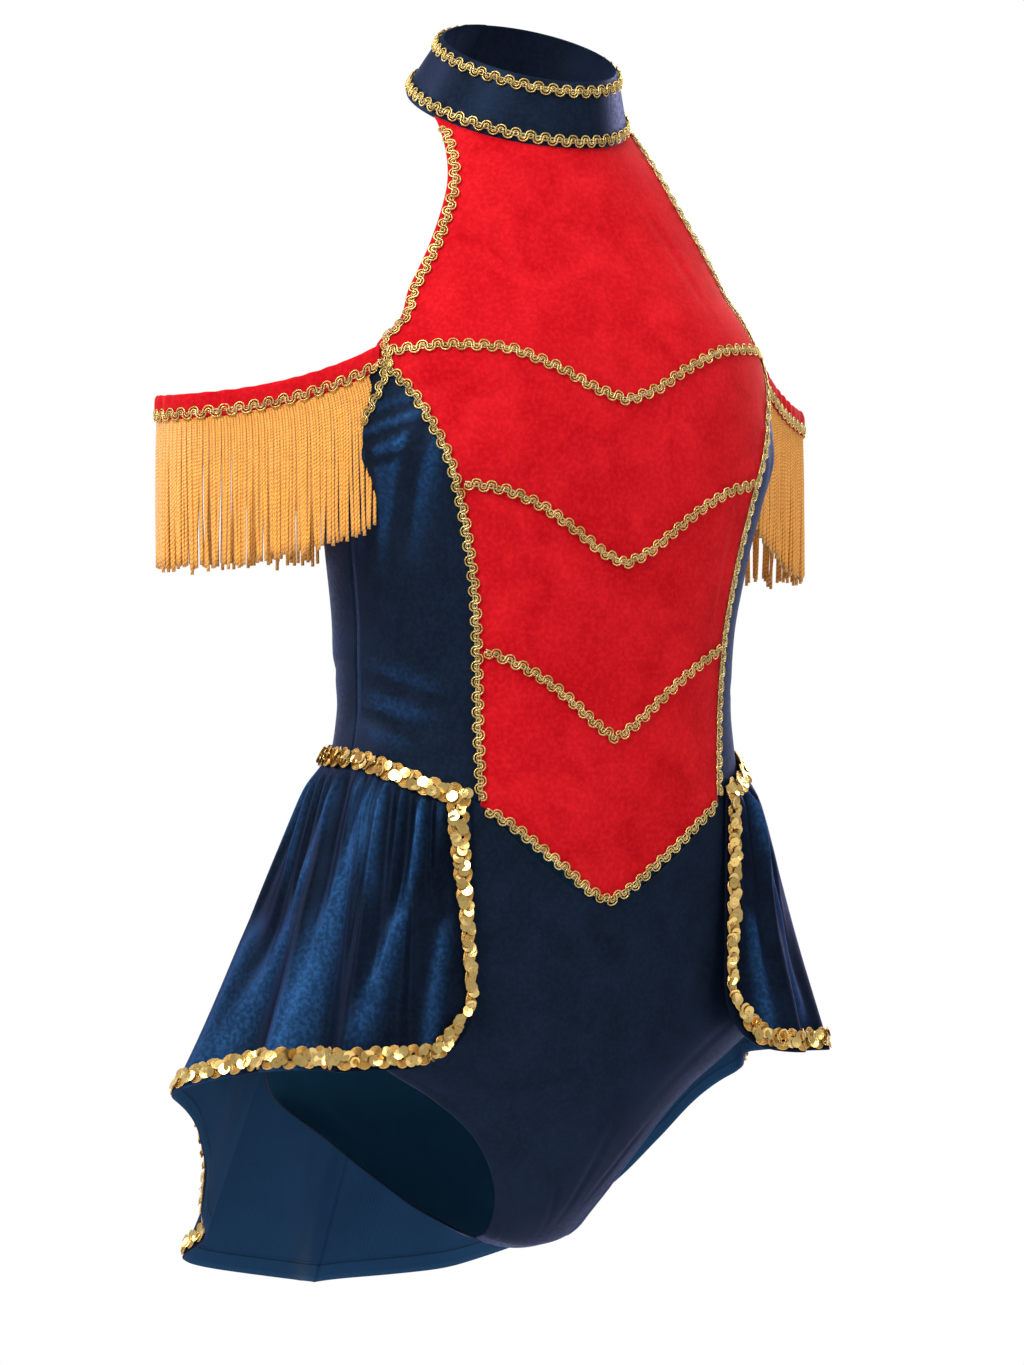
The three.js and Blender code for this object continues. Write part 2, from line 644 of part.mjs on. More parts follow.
function skirtPoint(side, folds, share, down) {
  const angle = skirtAngle(share);
  const level = waistLevel(angle) - SEAM_GAP / 2;
  const top = figure(angle, level).addScaledVector(figureNormal(angle, level), SKIRT_LIFT + SKIRT_CLOTH);
  const bottom = new THREE.Vector3(hem.x(share), hem.y(share), hem.z(share));
  const edgeX = hem.x(share) - hem.x(0);
  const corner = share < HEM[2].share ? Math.max(CORNER_RADIUS - edgeX, 0) : 0;
  bottom.z += CORNER_RADIUS - Math.sqrt(CORNER_RADIUS ** 2 - corner ** 2);
  const point = top.clone().lerp(bottom, down);
  const spread = down ** lerp(0.8, 1, smoothstep(share, 0.2, 0.6));
  point.x = lerp(top.x, bottom.x, spread);
  point.y = lerp(top.y, bottom.y, spread);
  const edge = smoothstep(share, 0, 0.045);
  const fade = smoothstep(down, 0, 0.12) * (1 - smoothstep(down, 0.2, 0.75));
  let sweep = 0;
  let rise = edge * GATHER_RISE * fade * (1 + Math.sin(2 * Math.PI * GATHERS * share));
  for (const fold of folds) {
    const away = (share - fold.share) / fold.width;
    const swell = edge * down ** fold.late * Math.exp(-away * away);
    rise += fold.rise * swell;
    sweep += fold.sweep * swell;
  }
  const out = new THREE.Vector3(bottom.x, bottom.y - 10, 0).normalize();
  point.addScaledVector(out, rise);
  point.x -= out.y * sweep;
  point.y += out.x * sweep;
  point.x *= side;
  return point;
}

function skirtNormal(side, folds, share, down) {
  const step = 0.004;
  const left = skirtPoint(side, folds, Math.max(share - step, 0), down);
  const right = skirtPoint(side, folds, Math.min(share + step, 1), down);
  const up = skirtPoint(side, folds, share, Math.max(down - step, 0));
  const low = skirtPoint(side, folds, share, Math.min(down + step, 1));
  return right.sub(left).cross(low.sub(up)).multiplyScalar(-side).normalize();
}

function addSkirt(side, mark, folds) {
  const shares = steps(SKIRT_COLUMNS).map((share) => Math.min(share, CENTRE_BACK));
  const outer = SKIRT_ROWS.map((down) => shares.map((share) => skirtPoint(side, folds, share, down)));
  const inner = SKIRT_ROWS.map((down, row) =>
    shares.map((share, col) =>
      outer[row][col].clone().addScaledVector(skirtNormal(side, folds, share, down), -SKIRT_CLOTH),
    ),
  );
  add(`tail_skirt_${mark}`, wall(outer, inner), BLUE);
  addHemTrim(side, mark, folds, shares);
  addWaistTrim(side, mark, folds);
}

// Sequin trim down the front edge, round the corner and along the hem
function addHemTrim(side, mark, folds, shares) {
  const frames = [];
  const place = (share, down, inShare, inDown) => {
    const edge = skirtPoint(side, folds, share, down);
    const inside = skirtPoint(side, folds, inShare, inDown);
    const across = inside.sub(edge).normalize();
    const out = skirtNormal(side, folds, (share + inShare) / 2, (down + inDown) / 2);
    frames.push({ point: edge, across, out });
  };
  for (const down of HEM_TRIM.downs) {
    place(0, down, HEM_TRIM.inShare, down);
  }
  place(0, 1, HEM_TRIM.cornerShare, HEM_TRIM.cornerDown);
  for (const share of shares.slice(3)) {
    const turn = Math.max(0, HEM_TRIM.turnEnd - share) * HEM_TRIM.turn;
    place(share, 1, share + turn, HEM_TRIM.inDown);
  }
  const section = [
    [HEM_TRIM.inset, TRIM_LIFT],
    [SEQUIN_WIDTH, TRIM_LIFT],
    [SEQUIN_WIDTH, TRIM_LIFT + SEQUIN_HEIGHT],
    [HEM_TRIM.inset, TRIM_LIFT + SEQUIN_HEIGHT],
  ];
  add(`sequin_hem_${mark}`, strip(frames, section), SEQUIN_GOLD);
}

// Sequin trim over the waist seam, its upper edge on the bodice and its lower edge on the crests of the gathers
function addWaistTrim(side, mark, folds) {
  const crests = steps(GATHERS).map((t) => t + 0.25 / GATHERS).slice(1, GATHERS);
  const half = SEQUIN_WIDTH / 2;
  const frames = [WAIST_TRIM_START, ...crests, CENTRE_BACK].map((share) => {
    const angle = skirtAngle(share);
    const level = waistLevel(angle);
    const down = half / (level - hem.z(share));
    const out = figureNormal(side * angle, level);
    const point = figure(side * angle, level + half).addScaledVector(out, TRIM_LIFT);
    const low = skirtPoint(side, folds, share, down).addScaledVector(out, 2 * TRIM_LIFT);
    return { point, across: low.sub(point), out };
  });
  const section = [
    [0, 0],
    [1, 0],
    [1, SEQUIN_HEIGHT],
    [0, SEQUIN_HEIGHT],
  ];
  add(`sequin_waist_${mark}`, strip(frames, section), SEQUIN_GOLD);
}

// Arm band path: from the underarm point straight to the arm, round its outside and back to the back panel
function bandPath() {
  const reach = (from, sign) => {
    const dx = ARM_CENTRE.x - from.x;
    const dy = ARM_CENTRE.y - from.y;
    return Math.atan2(dy, dx) + sign * Math.acos(-ARM_RADIUS / Math.hypot(dx, dy));
  };
  const touchFront = reach(BAND_FRONT, -1);
  const touchBack = reach(BAND_BACK, 1);
  const onArm = (turn) => [
    ARM_CENTRE.x + ARM_RADIUS * Math.cos(turn),
    ARM_CENTRE.y + ARM_RADIUS * Math.sin(turn),
  ];
  const path = [];
  const [tx, ty] = onArm(touchFront);
  for (const t of steps(8).slice(0, 8)) {
    path.push([lerp(BAND_FRONT.x, tx, t), lerp(BAND_FRONT.y, ty, t)]);
  }
  let span = touchBack - touchFront;
  if (span < 0) span += 2 * Math.PI;
  for (const t of steps(16)) {
    path.push(onArm(touchFront + span * t));
  }
  const [bx, by] = onArm(touchBack);
  for (const t of steps(5).slice(1)) {
    path.push([lerp(bx, BAND_BACK.x, t), lerp(by, BAND_BACK.y, t)]);
  }
  return path;
}

// Frames of the band from its two ends inwards, lowest on the outside of the arm
function bandFrames(side, startTrim, endTrim, lower) {
  const flat = bandPath().map(([x, y]) => new THREE.Vector3(side * x, y, 0));
  const curve = new THREE.CatmullRomCurve3(flat, false, 'centripetal');
  const length = curve.getLength();
  const outerZ = side < 0 ? BAND_OUTER_Z.R : BAND_OUTER_Z.L;
  return {
    length: length - startTrim - endTrim,
    at(t) {
      const run = (startTrim + t * (length - startTrim - endTrim)) / length;
      const point = curve.getPointAt(run);
      const along = curve.getTangentAt(run);
      const bow = Math.sin(Math.PI * run) ** BAND_BOW;
      const ends = lerp(BAND_FRONT.z, BAND_BACK.z, run);
      point.z = lerp(ends, outerZ, bow) - lower;
      const down = new THREE.Vector3(0, 0, -1);
      const out = down.clone().cross(along).multiplyScalar(side).normalize();
      return { point, across: down, out, along };
    },
  };
}

function addArm(side, mark) {
  const band = bandFrames(side, BAND_START, BAND_END, BAND_HEIGHT / 2);
  const half = BAND_HEIGHT / 2;
  const inside = SEAM_GAP / 2;
  const puffed = [
    [-half, inside],
    [half, inside],
    [half, BAND_CLOTH],
    [-half * 0.4, BAND_CLOTH],
    [-half * 0.83, BAND_CLOTH + BAND_PUFF],
    [-half, BAND_CLOTH - BAND_PUFF],
  ];
  add(`arm_band_${mark}`, strip(steps(BAND_STEPS).map((t) => band.at(t)), puffed), RED);
  const { start, end } = BAND_BRAID_TRIM;
  const braid = bandFrames(side, BAND_START + start, BAND_END + end, BAND_HEIGHT - BAND_BRAID_EDGE);
  const section = flatSection(BRAID_WIDTH, BRAID_HEIGHT, BAND_CLOTH + SEAM_GAP);
  add(`braid_arm_${mark}`, strip(steps(BAND_STEPS).map((t) => braid.at(t)), section), GOLD);
  addFringe(side, mark);
}

// Fringe: a narrow header under the band's lower edge, and strands that hang from it
function solid(geometry) {
  const merged = mergeVertices(geometry, 1e-4);
  const vertProperties = new Float32Array(merged.attributes.position.array);
  return new wasm.Manifold(new wasm.Mesh({ numProp: 3, vertProperties, triVerts: merged.index.array }));
}

function asGeometry(manifold) {
  const { vertProperties, triVerts } = manifold.getMesh();
  const geometry = new THREE.BufferGeometry();
  geometry.setAttribute('position', new THREE.BufferAttribute(vertProperties, 3));
  geometry.setIndex(new THREE.BufferAttribute(triVerts, 1));
  return geometry;
}

function addFringe(side, mark) {
  const below = BAND_HEIGHT + SEAM_GAP + HEADER_HEIGHT / 2;
  const header = bandFrames(side, FRINGE_START, FRINGE_END, below);
  const section = flatSection(HEADER_HEIGHT, HEADER_CLOTH, FRINGE_LIFT - HEADER_CLOTH / 2);
  const parts = [solid(strip(steps(BAND_STEPS).map((t) => header.at(t)), section))];
  const triangle = [0, 1, 2].map((corner) => {
    const turn = (corner * 2 * Math.PI) / 3;
    return [(STRAND_WIDTH / 2) * Math.cos(turn), (STRAND_WIDTH / 2) * Math.sin(turn)];
  });
  for (let i = 0; i < STRANDS; i++) {
    const { point, along, out } = header.at((i + 0.5) / STRANDS);
    const root = point.clone().addScaledVector(out, FRINGE_LIFT);
    root.z -= HEADER_HEIGHT / 2 - STRAND_ROOT;
    const tip = root.clone().addScaledVector(along, STRAND_SWAY * Math.sin(i * 2.4));
    tip.addScaledVector(out, STRAND_SWING * Math.sin(i * 1.7));
    tip.z -= STRAND_LENGTH + STRAND_ROOT + STRAND_UNEVEN * Math.sin(i * 3.1);
    const ends = [root, tip].map((end) => ({ point: end, across: along, out }));
    parts.push(solid(strip(ends, triangle)));
  }
  add(`fringe_${mark}`, asGeometry(wasm.Manifold.union(parts)), FRINGE_GOLD);
}

addCollar();
addFront();
addSides(-1, 'R');
addSides(1, 'L');
addBrief();
addBraids();
addSkirt(-1, 'R', FOLDS_RIGHT);
addSkirt(1, 'L', FOLDS_LEFT);
addArm(-1, 'R');
addArm(1, 'L');

export default costume;
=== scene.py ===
import math

import bmesh
import bpy
import numpy as np
from mathutils import Matrix, Vector


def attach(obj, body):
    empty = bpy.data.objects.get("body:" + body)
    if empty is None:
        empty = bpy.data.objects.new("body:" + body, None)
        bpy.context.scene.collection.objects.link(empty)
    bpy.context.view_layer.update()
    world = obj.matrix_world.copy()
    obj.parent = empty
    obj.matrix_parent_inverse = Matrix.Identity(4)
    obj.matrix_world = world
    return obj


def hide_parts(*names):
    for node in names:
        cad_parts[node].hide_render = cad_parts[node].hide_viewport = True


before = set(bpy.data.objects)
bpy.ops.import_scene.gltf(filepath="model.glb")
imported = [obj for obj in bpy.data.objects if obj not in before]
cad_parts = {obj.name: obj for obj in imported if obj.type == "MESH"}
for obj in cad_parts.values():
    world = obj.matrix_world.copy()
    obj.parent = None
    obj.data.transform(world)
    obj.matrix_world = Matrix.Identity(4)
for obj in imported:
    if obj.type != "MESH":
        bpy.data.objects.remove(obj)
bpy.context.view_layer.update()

# Red front: yoke, bust, midriff and point
# Four pieces of stretch velvet, cut to the curve of the chest and sewn together along V-shaped seams, so that
# the front is one smooth halter. Sizes are in millimetres, as on the pattern, and MM turns them to metres.
MM = 0.001
CLOTH = 1.5
SEAM_GAP = 0.4
YOKE_TOP = -33.2  # the yoke runs up under the collar


def table(names, rows):
    """Rows of a pattern table, each with its columns by name."""
    return [dict(zip(names.split(), row)) for row in rows]


def column(rows, key, name):
    """The smooth curve through one column of a table, which runs straight on past its ends."""
    rows = sorted(rows, key=lambda row: row[key])
    at = np.array([row[key] for row in rows], float)
    value = np.array([row[name] for row in rows], float)
    rise = np.diff(value) / np.diff(at)
    turns = rise[:-1] * rise[1:] <= 0
    mean = 2 * rise[:-1] * rise[1:] / np.where(turns, 1, rise[:-1] + rise[1:])
    slope = np.concatenate([rise[:1], np.where(turns, 0, mean), rise[-1:]])

    def curve(x):
        x = np.asarray(x, float)
        i = np.clip(np.searchsorted(at, x, side="right") - 1, 0, len(rise) - 1)
        span = at[i + 1] - at[i]
        t = np.clip((x - at[i]) / span, 0, 1)
        rest = 1 - t
        inside = value[i] * (1 + 2 * t) * rest**2 + value[i + 1] * (3 - 2 * t) * t**2
        inside = inside + span * (slope[i] * t * rest**2 - slope[i + 1] * t**2 * rest)
        past = x - np.clip(x, at[0], at[-1])
        return inside + past * np.where(past < 0, slope[0], slope[-1])

    return curve


# The front half of the figure that the cloth is cut for. A section starts at the centre front, at y and
# level, and falls back along its lean, in degrees above level, to its half width at the side.
FRONT = table("level y lean half depth round", [
    (-36, -56.5, 22, 66, 66, 2.0),
    (-66, -65, 16, 98, 76, 2.2),
    (-92, -76, 8, 112, 80, 2.3),
    (-115, -88, 3, 117, 84, 2.4),
    (-130, -97, 0, 122, 76, 2.4),
    (-150, -104, 0, 130, 74, 2.4),
    (-175, -108, 0, 134, 76, 2.4),
    (-205, -110, 0, 137, 76, 2.4),
    (-235, -109, 0, 131, 82, 2.4),
    (-269, -106, 0, 124, 88, 2.4),
    (-310, -101, 0, 118, 88, 2.4),
    (-345, -98, 0, 117, 86, 2.4),
    (-376, -96, 0, 121, 84, 2.4),
    (-402, -95, 0, 128, 86, 2.4),
    (-460, -89, 0, 145, 89, 2.4),
    (-525, -82, 0, 156, 88, 2.3),
    (-550, -79, 5, 138, 88, 2.1),
    (-573, -75, 12, 110, 84, 2.0),
    (-600, -65, 26, 82, 70, 2.0),
    (-630, -45, 42, 58, 52, 2.0),
    (-648, -25, 60, 48, 38, 2.0),
    (-655, -14, 74, 45, 30, 2.0),
    (-657.5, -6, 84, 44, 27, 2.0),
    (-658, -0.3, 90, 44, 26, 2.0),
])
# The back half runs from the centre back forward, and down to the hip it reaches the same sides
BACK = table("level y lean round", [
    (-165, 68, 0, 2.3),
    (-190, 72, 0, 2.3),
    (-235, 76, 0, 2.3),
    (-310, 76, 0, 2.3),
    (-345, 72, 0, 2.2),
    (-376, 74, 0, 2.2),
    (-402, 82, 0, 2.2),
    (-460, 98, 0, 2.2),
    (-525, 105, 0, 2.2),
    (-573, 104, 8, 2.2),
    (-610, 88, 25, 2.0),
    (-640, 58, 48, 2.0),
    (-653, 30, 68, 2.0),
    (-657.5, 8, 82, 2.0),
    (-658, 0.3, 90, 2.0),
])
HIP = -525
BACK_BELOW_HIP = table("level half depth", [
    (-525, 156, 99),
    (-573, 150, 96),
    (-610, 120, 80),
    (-640, 78, 52),
    (-653, 52, 34),
    (-658, 44, 26),
])
# Half width of the red front: the halter edge above the underarm point, the princess seam below it
FRONT_WIDTH = table("level half", [
    (-36, 64),
    (-64, 76),
    (-92, 92),
    (-112, 104),
    (-130, 115),
    (-150, 128),
    (-175, 118),
    (-225, 100),
    (-255, 92),
    (-285, 86),
    (-310, 83),
    (-350, 81),
    (-402, 80),
    (-460, 80),
])
# The V seams: share of the half width, and the level of each seam there
V_SEAMS = table("share yoke bust midriff point", [
    (0, -176, -267, -365, -456),
    (0.16, -170, -261, -357, -450),
    (0.36, -157, -248, -344, -438),
    (0.6, -147, -233, -330, -424),
    (0.8, -146, -225, -321, -412),
    (1, -150, -222, -314, -402),
])
# Soft creases where the worn cloth pulls or gives: from an angle and level to another, width and depth
CREASES = table("angle level to_angle to_level width depth", [
    (-37, -240, -34, -308, 3.4, 1.1),
    (-32, -254, -31, -290, 2.4, 0.6),
    (36, -236, 34, -302, 3.2, 1.0),
    (30, -258, 30, -296, 2.2, 0.5),
    (23, -64, 33, -122, 4.5, 0.8),
    (-24, -58, -30, -104, 3.6, 0.5),
    (-48, -168, -60, -214, 6.0, 1.3),
    (-58, -192, -68, -252, 7.0, 1.4),
    (-79, -202, -81, -262, 5.5, 1.1),
    (52, -176, 62, -224, 6.0, 1.2),
    (72, -198, 75, -250, 6.5, 1.2),
    (-56, -178, -84, -190, 3.0, 1.2),
    (-60, -190, -87, -203, 3.4, 1.1),
    (-63, -206, -86, -214, 3.0, 0.8),
    (62, -182, 85, -194, 3.2, 1.0),
    (-56, -344, -84, -332, 4.5, 1.0),
    (-64, -360, -88, -352, 4.0, 0.8),
    (58, -340, 86, -330, 4.5, 1.0),
    (100, -326, 138, -336, 5.5, 1.3),
    (-98, -322, -132, -332, 5.0, 1.2),
    (112, -350, 150, -344, 4.5, 0.9),
    (-118, -348, -156, -342, 5.0, 1.0),
    (122, -206, 134, -276, 8.0, 1.3),
    (-116, -200, -128, -270, 7.0, 1.2),
    (168, -214, 164, -288, 6.0, 0.9),
    (-166, -220, -162, -296, 6.5, 1.0),
    (-66, -452, -44, -532, 8.0, 1.4),
    (-52, -470, -30, -556, 6.0, 0.9),
    (66, -446, 42, -524, 8.0, 1.3),
    (48, -486, 26, -566, 5.0, 0.8),
    (-16, -590, -5, -640, 4.0, 1.1),
    (10, -584, 3, -636, 4.5, 1.0),
    (30, -588, 16, -628, 4.0, 0.8),
    (-30, -470, -12, -486, 6.0, 0.5),
    (140, -530, 160, -600, 7.0, 1.2),
    (-138, -524, -156, -596, 8.0, 1.3),
    (172, -560, 176, -626, 6.0, 1.0),
])
CREASE_DEGREE = 2.0  # a degree round the figure, in millimetres
GRID_WELD = 1e-6  # metres

front = {name: column(FRONT, "level", name) for name in ("y", "lean", "half", "depth", "round")}
back = {name: column(BACK, "level", name) for name in ("y", "lean", "round")}
below_hip = {name: column(BACK_BELOW_HIP, "level", name) for name in ("half", "depth")}
back["half"] = lambda level: np.where(level < HIP, below_hip["half"](level), front["half"](level))
back["depth"] = lambda level: np.where(
    level < HIP, below_hip["depth"](level), back["y"](level) - front["y"](level) - front["depth"](level)
)
front_width = column(FRONT_WIDTH, "level", "half")
seam = {name: column(V_SEAMS, "share", name) for name in ("yoke", "bust", "midriff", "point")}


def mix(a, b, t):
    return a + (b - a) * t


def ease(x, start, end):
    """A smooth step from 0 at start to 1 at end."""
    t = np.clip((x - start) / (end - start), 0, 1)
    return t * t * (3 - 2 * t)


def paired(first, second):
    """Two numbers or arrays as arrays of one shape."""
    return np.broadcast_arrays(np.asarray(first, float), np.asarray(second, float))


def figure(angle, level):
    """Points of the figure at angles from the centre front, in degrees, and levels at the centre line."""
    angle, level = paired(angle, level)
    behind = np.abs(angle) > 90
    size = {name: np.where(behind, back[name](level), front[name](level)) for name in front}
    power = 2 / size["round"]
    turn = np.radians(angle)
    x = size["half"] * np.sign(angle) * np.abs(np.sin(turn)) ** power
    fall = size["depth"] * (1 - np.abs(np.cos(turn)) ** power)
    lean = np.radians(size["lean"])
    y = size["y"] + np.where(behind, -1, 1) * fall * np.cos(lean)
    return np.stack([x, y, level + fall * np.sin(lean)], -1)


def unit(vectors):
    return vectors / np.maximum(np.linalg.norm(vectors, axis=-1, keepdims=True), 1e-9)


def facing(surface, angle, level, turn=0.6, drop=1.5):
    """The outward normal of a surface given by angle and level, from short steps to both sides."""
    angle, level = paired(angle, level)
    across = surface(angle + turn, level) - surface(angle - turn, level)
    down = surface(angle, level - drop) - surface(angle, level + drop)
    return unit(-np.cross(across, down))


def crease(angle, level):
    """How deep the creases are at a place, in millimetres."""
    depth = np.zeros(np.broadcast(angle, level).shape)
    for row in CREASES:
        start = np.array([row["angle"] * CREASE_DEGREE, row["level"]])
        run = np.array([row["to_angle"] * CREASE_DEGREE, row["to_level"]]) - start
        length = np.linalg.norm(run)
        x = angle * CREASE_DEGREE - start[0]
        y = level - start[1]
        along = (x * run[0] + y * run[1]) / length**2
        away = (x * run[1] - y * run[0]) / length / row["width"]
        fade = ease(along, -0.25, 0.35) * (1 - ease(along, 0.6, 1.3))
        trough = np.exp(-(away**2)) - 0.45 * np.exp(-((away / 1.9) ** 2))
        depth = depth + row["depth"] * fade * trough
    return depth


def worn(angle, level):
    """Points of the cloth as it is worn: the figure with its creases."""
    angle, level = paired(angle, level)
    return figure(angle, level) - crease(angle, level)[..., None] * facing(figure, angle, level)


def angle_at(half, x, level):
    """The angle at which a section's half width reaches x."""
    share = np.clip(np.abs(x) / half["half"](level), 0, 1)
    return np.sign(x) * np.degrees(np.arcsin(share ** (half["round"](level) / 2)))


def front_angle(share, level):
    return angle_at(front, share * front_width(level), level)


def shape_grid(bm, across, up, place, closed=False, nap=None):
    """A grid of cloth, put in place by place(u, v): u goes across and v up, both from 0 to 1. The painted
    highlight, from 0 to 1 too, is how much of the lighter highlight colour is painted on the velvet there."""
    if not bm.loops.layers.uv:
        bm.loops.layers.uv.new("UVMap")
    layer = bm.verts.layers.float.new("nap") if nap else None
    grid = bmesh.ops.create_grid(bm, x_segments=across, y_segments=up, size=0.5, calc_uvs=True)["verts"]
    spots = np.array([v.co for v in grid]) + 0.5
    points = place(np.clip(spots[:, 0], 0, 1), np.clip(spots[:, 1], 0, 1)) * MM
    for vert, point in zip(grid, points):
        vert.co = point
    if nap:
        for vert, light in zip(grid, nap(spots[:, 0], spots[:, 1])):
            vert[layer] = light
    if closed:
        bmesh.ops.remove_doubles(bm, verts=grid, dist=GRID_WELD)


def finished(name, bm, finishes, smooth=True):
    """The bmesh as an object at the origin with its finishes. Without smooth, its faces stay as they are."""
    mesh = bpy.data.meshes.new(name)
    bm.to_mesh(mesh)
    bm.free()
    piece = bpy.data.objects.new(name, mesh)
    bpy.context.collection.objects.link(piece)
    for finish in finishes:
        mesh.materials.append(finish)
    if smooth:
        mesh.shade_smooth()
    return piece


def cloth(name, across, up, place, finishes, thickness=CLOTH, nap=None):
    """A sheet of cloth with its nap outside and its wall inside."""
    bm = bmesh.new()
    shape_grid(bm, across, up, place, nap=nap)
    bm.normal_update()
    outward = sum(f.normal.dot(f.calc_center_median() * Vector((1, 1, 0))) * f.calc_area() for f in bm.faces)
    if outward < 0:
        bmesh.ops.reverse_faces(bm, faces=bm.faces)
    piece = finished(name, bm, finishes)
    wall = piece.modifiers.new("wall", "SOLIDIFY")
    wall.thickness = thickness * MM
    wall.offset = -1
    wall.material_offset = 1
    return piece


def stands_for(piece, node):
    """The piece shows in place of one of the costume's solids, which is hidden."""
    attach(piece, "root")
    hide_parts(node)


class Wire:
    """A shader socket that can be used in sums like a number."""

    def __init__(self, finish, socket):
        self.finish = finish
        self.socket = socket

    def sum(self, operation, first, second):
        return self.finish.node("Math", {"operation": operation}, {0: first, 1: second})

    def __add__(self, other):
        return self.sum("ADD", self, other)

    def __sub__(self, other):
        return self.sum("SUBTRACT", self, other)

    def __rsub__(self, other):
        return self.sum("SUBTRACT", other, self)

    def __mul__(self, other):
        return self.sum("MULTIPLY", self, other)

    __radd__ = __add__
    __rmul__ = __mul__


class Finish:
    """One material: the nodes that colour and emboss a surface, and its shader."""

    def __init__(self, name):
        self.material = bpy.data.materials.new(name)
        self.material.use_nodes = True
        self.tree = self.material.node_tree
        self.shader = self.tree.nodes["Principled BSDF"]

    def join(self, socket, value):
        if isinstance(value, Wire):
            self.tree.links.new(value.socket, socket)
        else:
            socket.default_value = value

    def node(self, kind, settings=None, sockets=None, output=0):
        """A node of any kind, with its settings first and then the values or links of its sockets."""
        made = self.tree.nodes.new("ShaderNode" + kind)
        for key, value in (settings or {}).items():
            setattr(made, key, value)
        for key, value in (sockets or {}).items():
            self.join(made.inputs[key], value)
        return Wire(self, made.outputs[output])

    def place(self, kind="Object"):
        return self.node("TexCoord", output=kind)

    def noise(self, where, scale, detail=2.0, distortion=0.0):
        sockets = {"Vector": where, "Scale": scale, "Detail": detail, "Distortion": distortion}
        return self.node("TexNoise", sockets=sockets)

    def colours(self, factor, first, second):
        """A blend from the first colour to the second."""
        return self.node("Mix", {"data_type": "RGBA"}, {0: factor, 6: first, 7: second}, output=2)

    def limits(self, value, low, high, to_low=0.0, to_high=1.0):
        sockets = {"Value": value, "From Min": low, "From Max": high, "To Min": to_low, "To Max": to_high}
        return self.node("MapRange", sockets=sockets)

    def emboss(self, height, distance, strength=1.0):
        """A bump from a height of 0 to 1, in millimetres."""
        return self.node("Bump", sockets={"Height": height, "Distance": distance * MM, "Strength": strength})

    def shade(self, sockets):
        for key, value in sockets.items():
            self.join(self.shader.inputs[key], value)
        return self.material


# How fine the velvet's pile, its specks and its brushed patches are, and the ribs of its reverse
PILE_GRAIN = 1400.0
PILE_SPECKS = 420.0
PILE_PATCHES = 34.0
KNIT_RIBS = 130.0


def velvet(name, deep, lit, bright, sheen, sheen_weight, lustre=0.05, roughness=(0.8, 0.86), gloss=0.0):
    """Stretch velvet: a short pile, dark seen head on and bright where it turns away, with a painted
    highlight where the mesh's stored attribute marks the cloth as facing a light.
    """
    finish = Finish(name)
    where = finish.place()
    pile = finish.noise(where, PILE_GRAIN, 3.0)
    specks = finish.noise(where, PILE_SPECKS, 4.0)
    brushed = finish.noise(where, PILE_PATCHES, 4.0, 0.8)
    fleck = finish.limits(specks, 0.42, 0.66)
    nap = finish.limits(brushed, 0.32, 0.7)
    colour = finish.colours(fleck * 0.35 + nap * 0.5 + pile * 0.15, deep, lit)
    # Painted highlight: the colour is blended towards a lighter highlight colour where the mesh's stored
    # highlight is high.
    painted_highlight_mask = finish.node("Attribute", {"attribute_name": "nap"}, output=2)
    colour = finish.colours(painted_highlight_mask * (fleck * 0.6 + 0.5), colour, bright)
    bump = finish.emboss(pile * 0.5 + specks * 0.5, 0.35, 0.55)
    return finish.shade({
        "Base Color": colour,
        "Roughness": finish.limits(specks, 0.35, 0.65, *roughness),
        "Metallic": gloss,
        "Specular IOR Level": lustre,
        "Specular Tint": sheen,
        "Sheen Weight": sheen_weight,
        "Sheen Roughness": 0.34,
        "Sheen Tint": sheen,
        "Normal": bump,
    })


def reverse_side(name, colour, thread, hem=0.0):
    """The smooth knitted reverse of the velvet, with fine ribs, and a turned hem up to a share of the cut."""
    finish = Finish(name)
    knit = {"Vector": finish.place("UV"), "Scale": KNIT_RIBS}
    ribs = finish.node("TexWave", {"bands_direction": "X"}, knit)
    worn_patches = finish.noise(finish.place(), 60.0, 3.0)
    blend = finish.colours(ribs * 0.35 + worn_patches * 0.5, colour, thread)
    height = ribs * 0.2
    if hem:
        up = finish.node("SeparateXYZ", sockets={0: finish.place("UV")}, output=1)
        inside = finish.limits(up, hem, hem + 0.002, 1.0, 0.0)
        sewn = finish.limits(up, hem - 0.005, hem - 0.0035)
        sewn = sewn * finish.limits(up, hem - 0.002, hem - 0.0005, 1.0, 0.0)
        blend = finish.colours(inside * 0.35, blend, thread)
        blend = finish.colours(sewn * 0.7, blend, (0.001, 0.008, 0.02, 1))
        height = height + inside * 0.8 - sewn * 0.5
    return finish.shade({
        "Base Color": blend,
        "Roughness": 0.75,
        "Specular IOR Level": 0.1,
        "Normal": finish.emboss(height, 0.5, 0.6),
    })


red_velvet = velvet(
    "red_velvet_pile",
    deep=(0.38, 0.002, 0.006, 1),
    lit=(0.63, 0.012, 0.018, 1),
    bright=(0.9, 0.03, 0.03, 1),
    sheen=(1.0, 0.2, 0.18, 1),
    sheen_weight=0.45,
)
red_reverse = reverse_side("red_velvet_reverse", (0.36, 0.012, 0.016, 1), (0.5, 0.03, 0.03, 1))

FRONT_CUTS = table("name top bottom width length area", [
    ("front_yoke", None, "yoke", 290, 145, 0.028),
    ("front_bust", "yoke", "bust", 290, 122, 0.0195),
    ("front_midriff", "bust", "midriff", 215, 145, 0.017),
    ("front_point", "midriff", "point", 190, 145, 0.015),
])
CLOTH_GRID = 3.0


def seam_between(grid_u, grid_v, top, bottom):
    """Angles and levels between two V seams, with half the seam's gap left free at each edge."""
    share = 2 * grid_u - 1
    side = np.abs(share)
    upper = seam[top](side) - SEAM_GAP / 2 if top else YOKE_TOP
    level = mix(seam[bottom](side) + SEAM_GAP / 2, upper, grid_v)
    inset = 1 - SEAM_GAP / 2 / front_width(level)
    return front_angle(share * inset, level), level


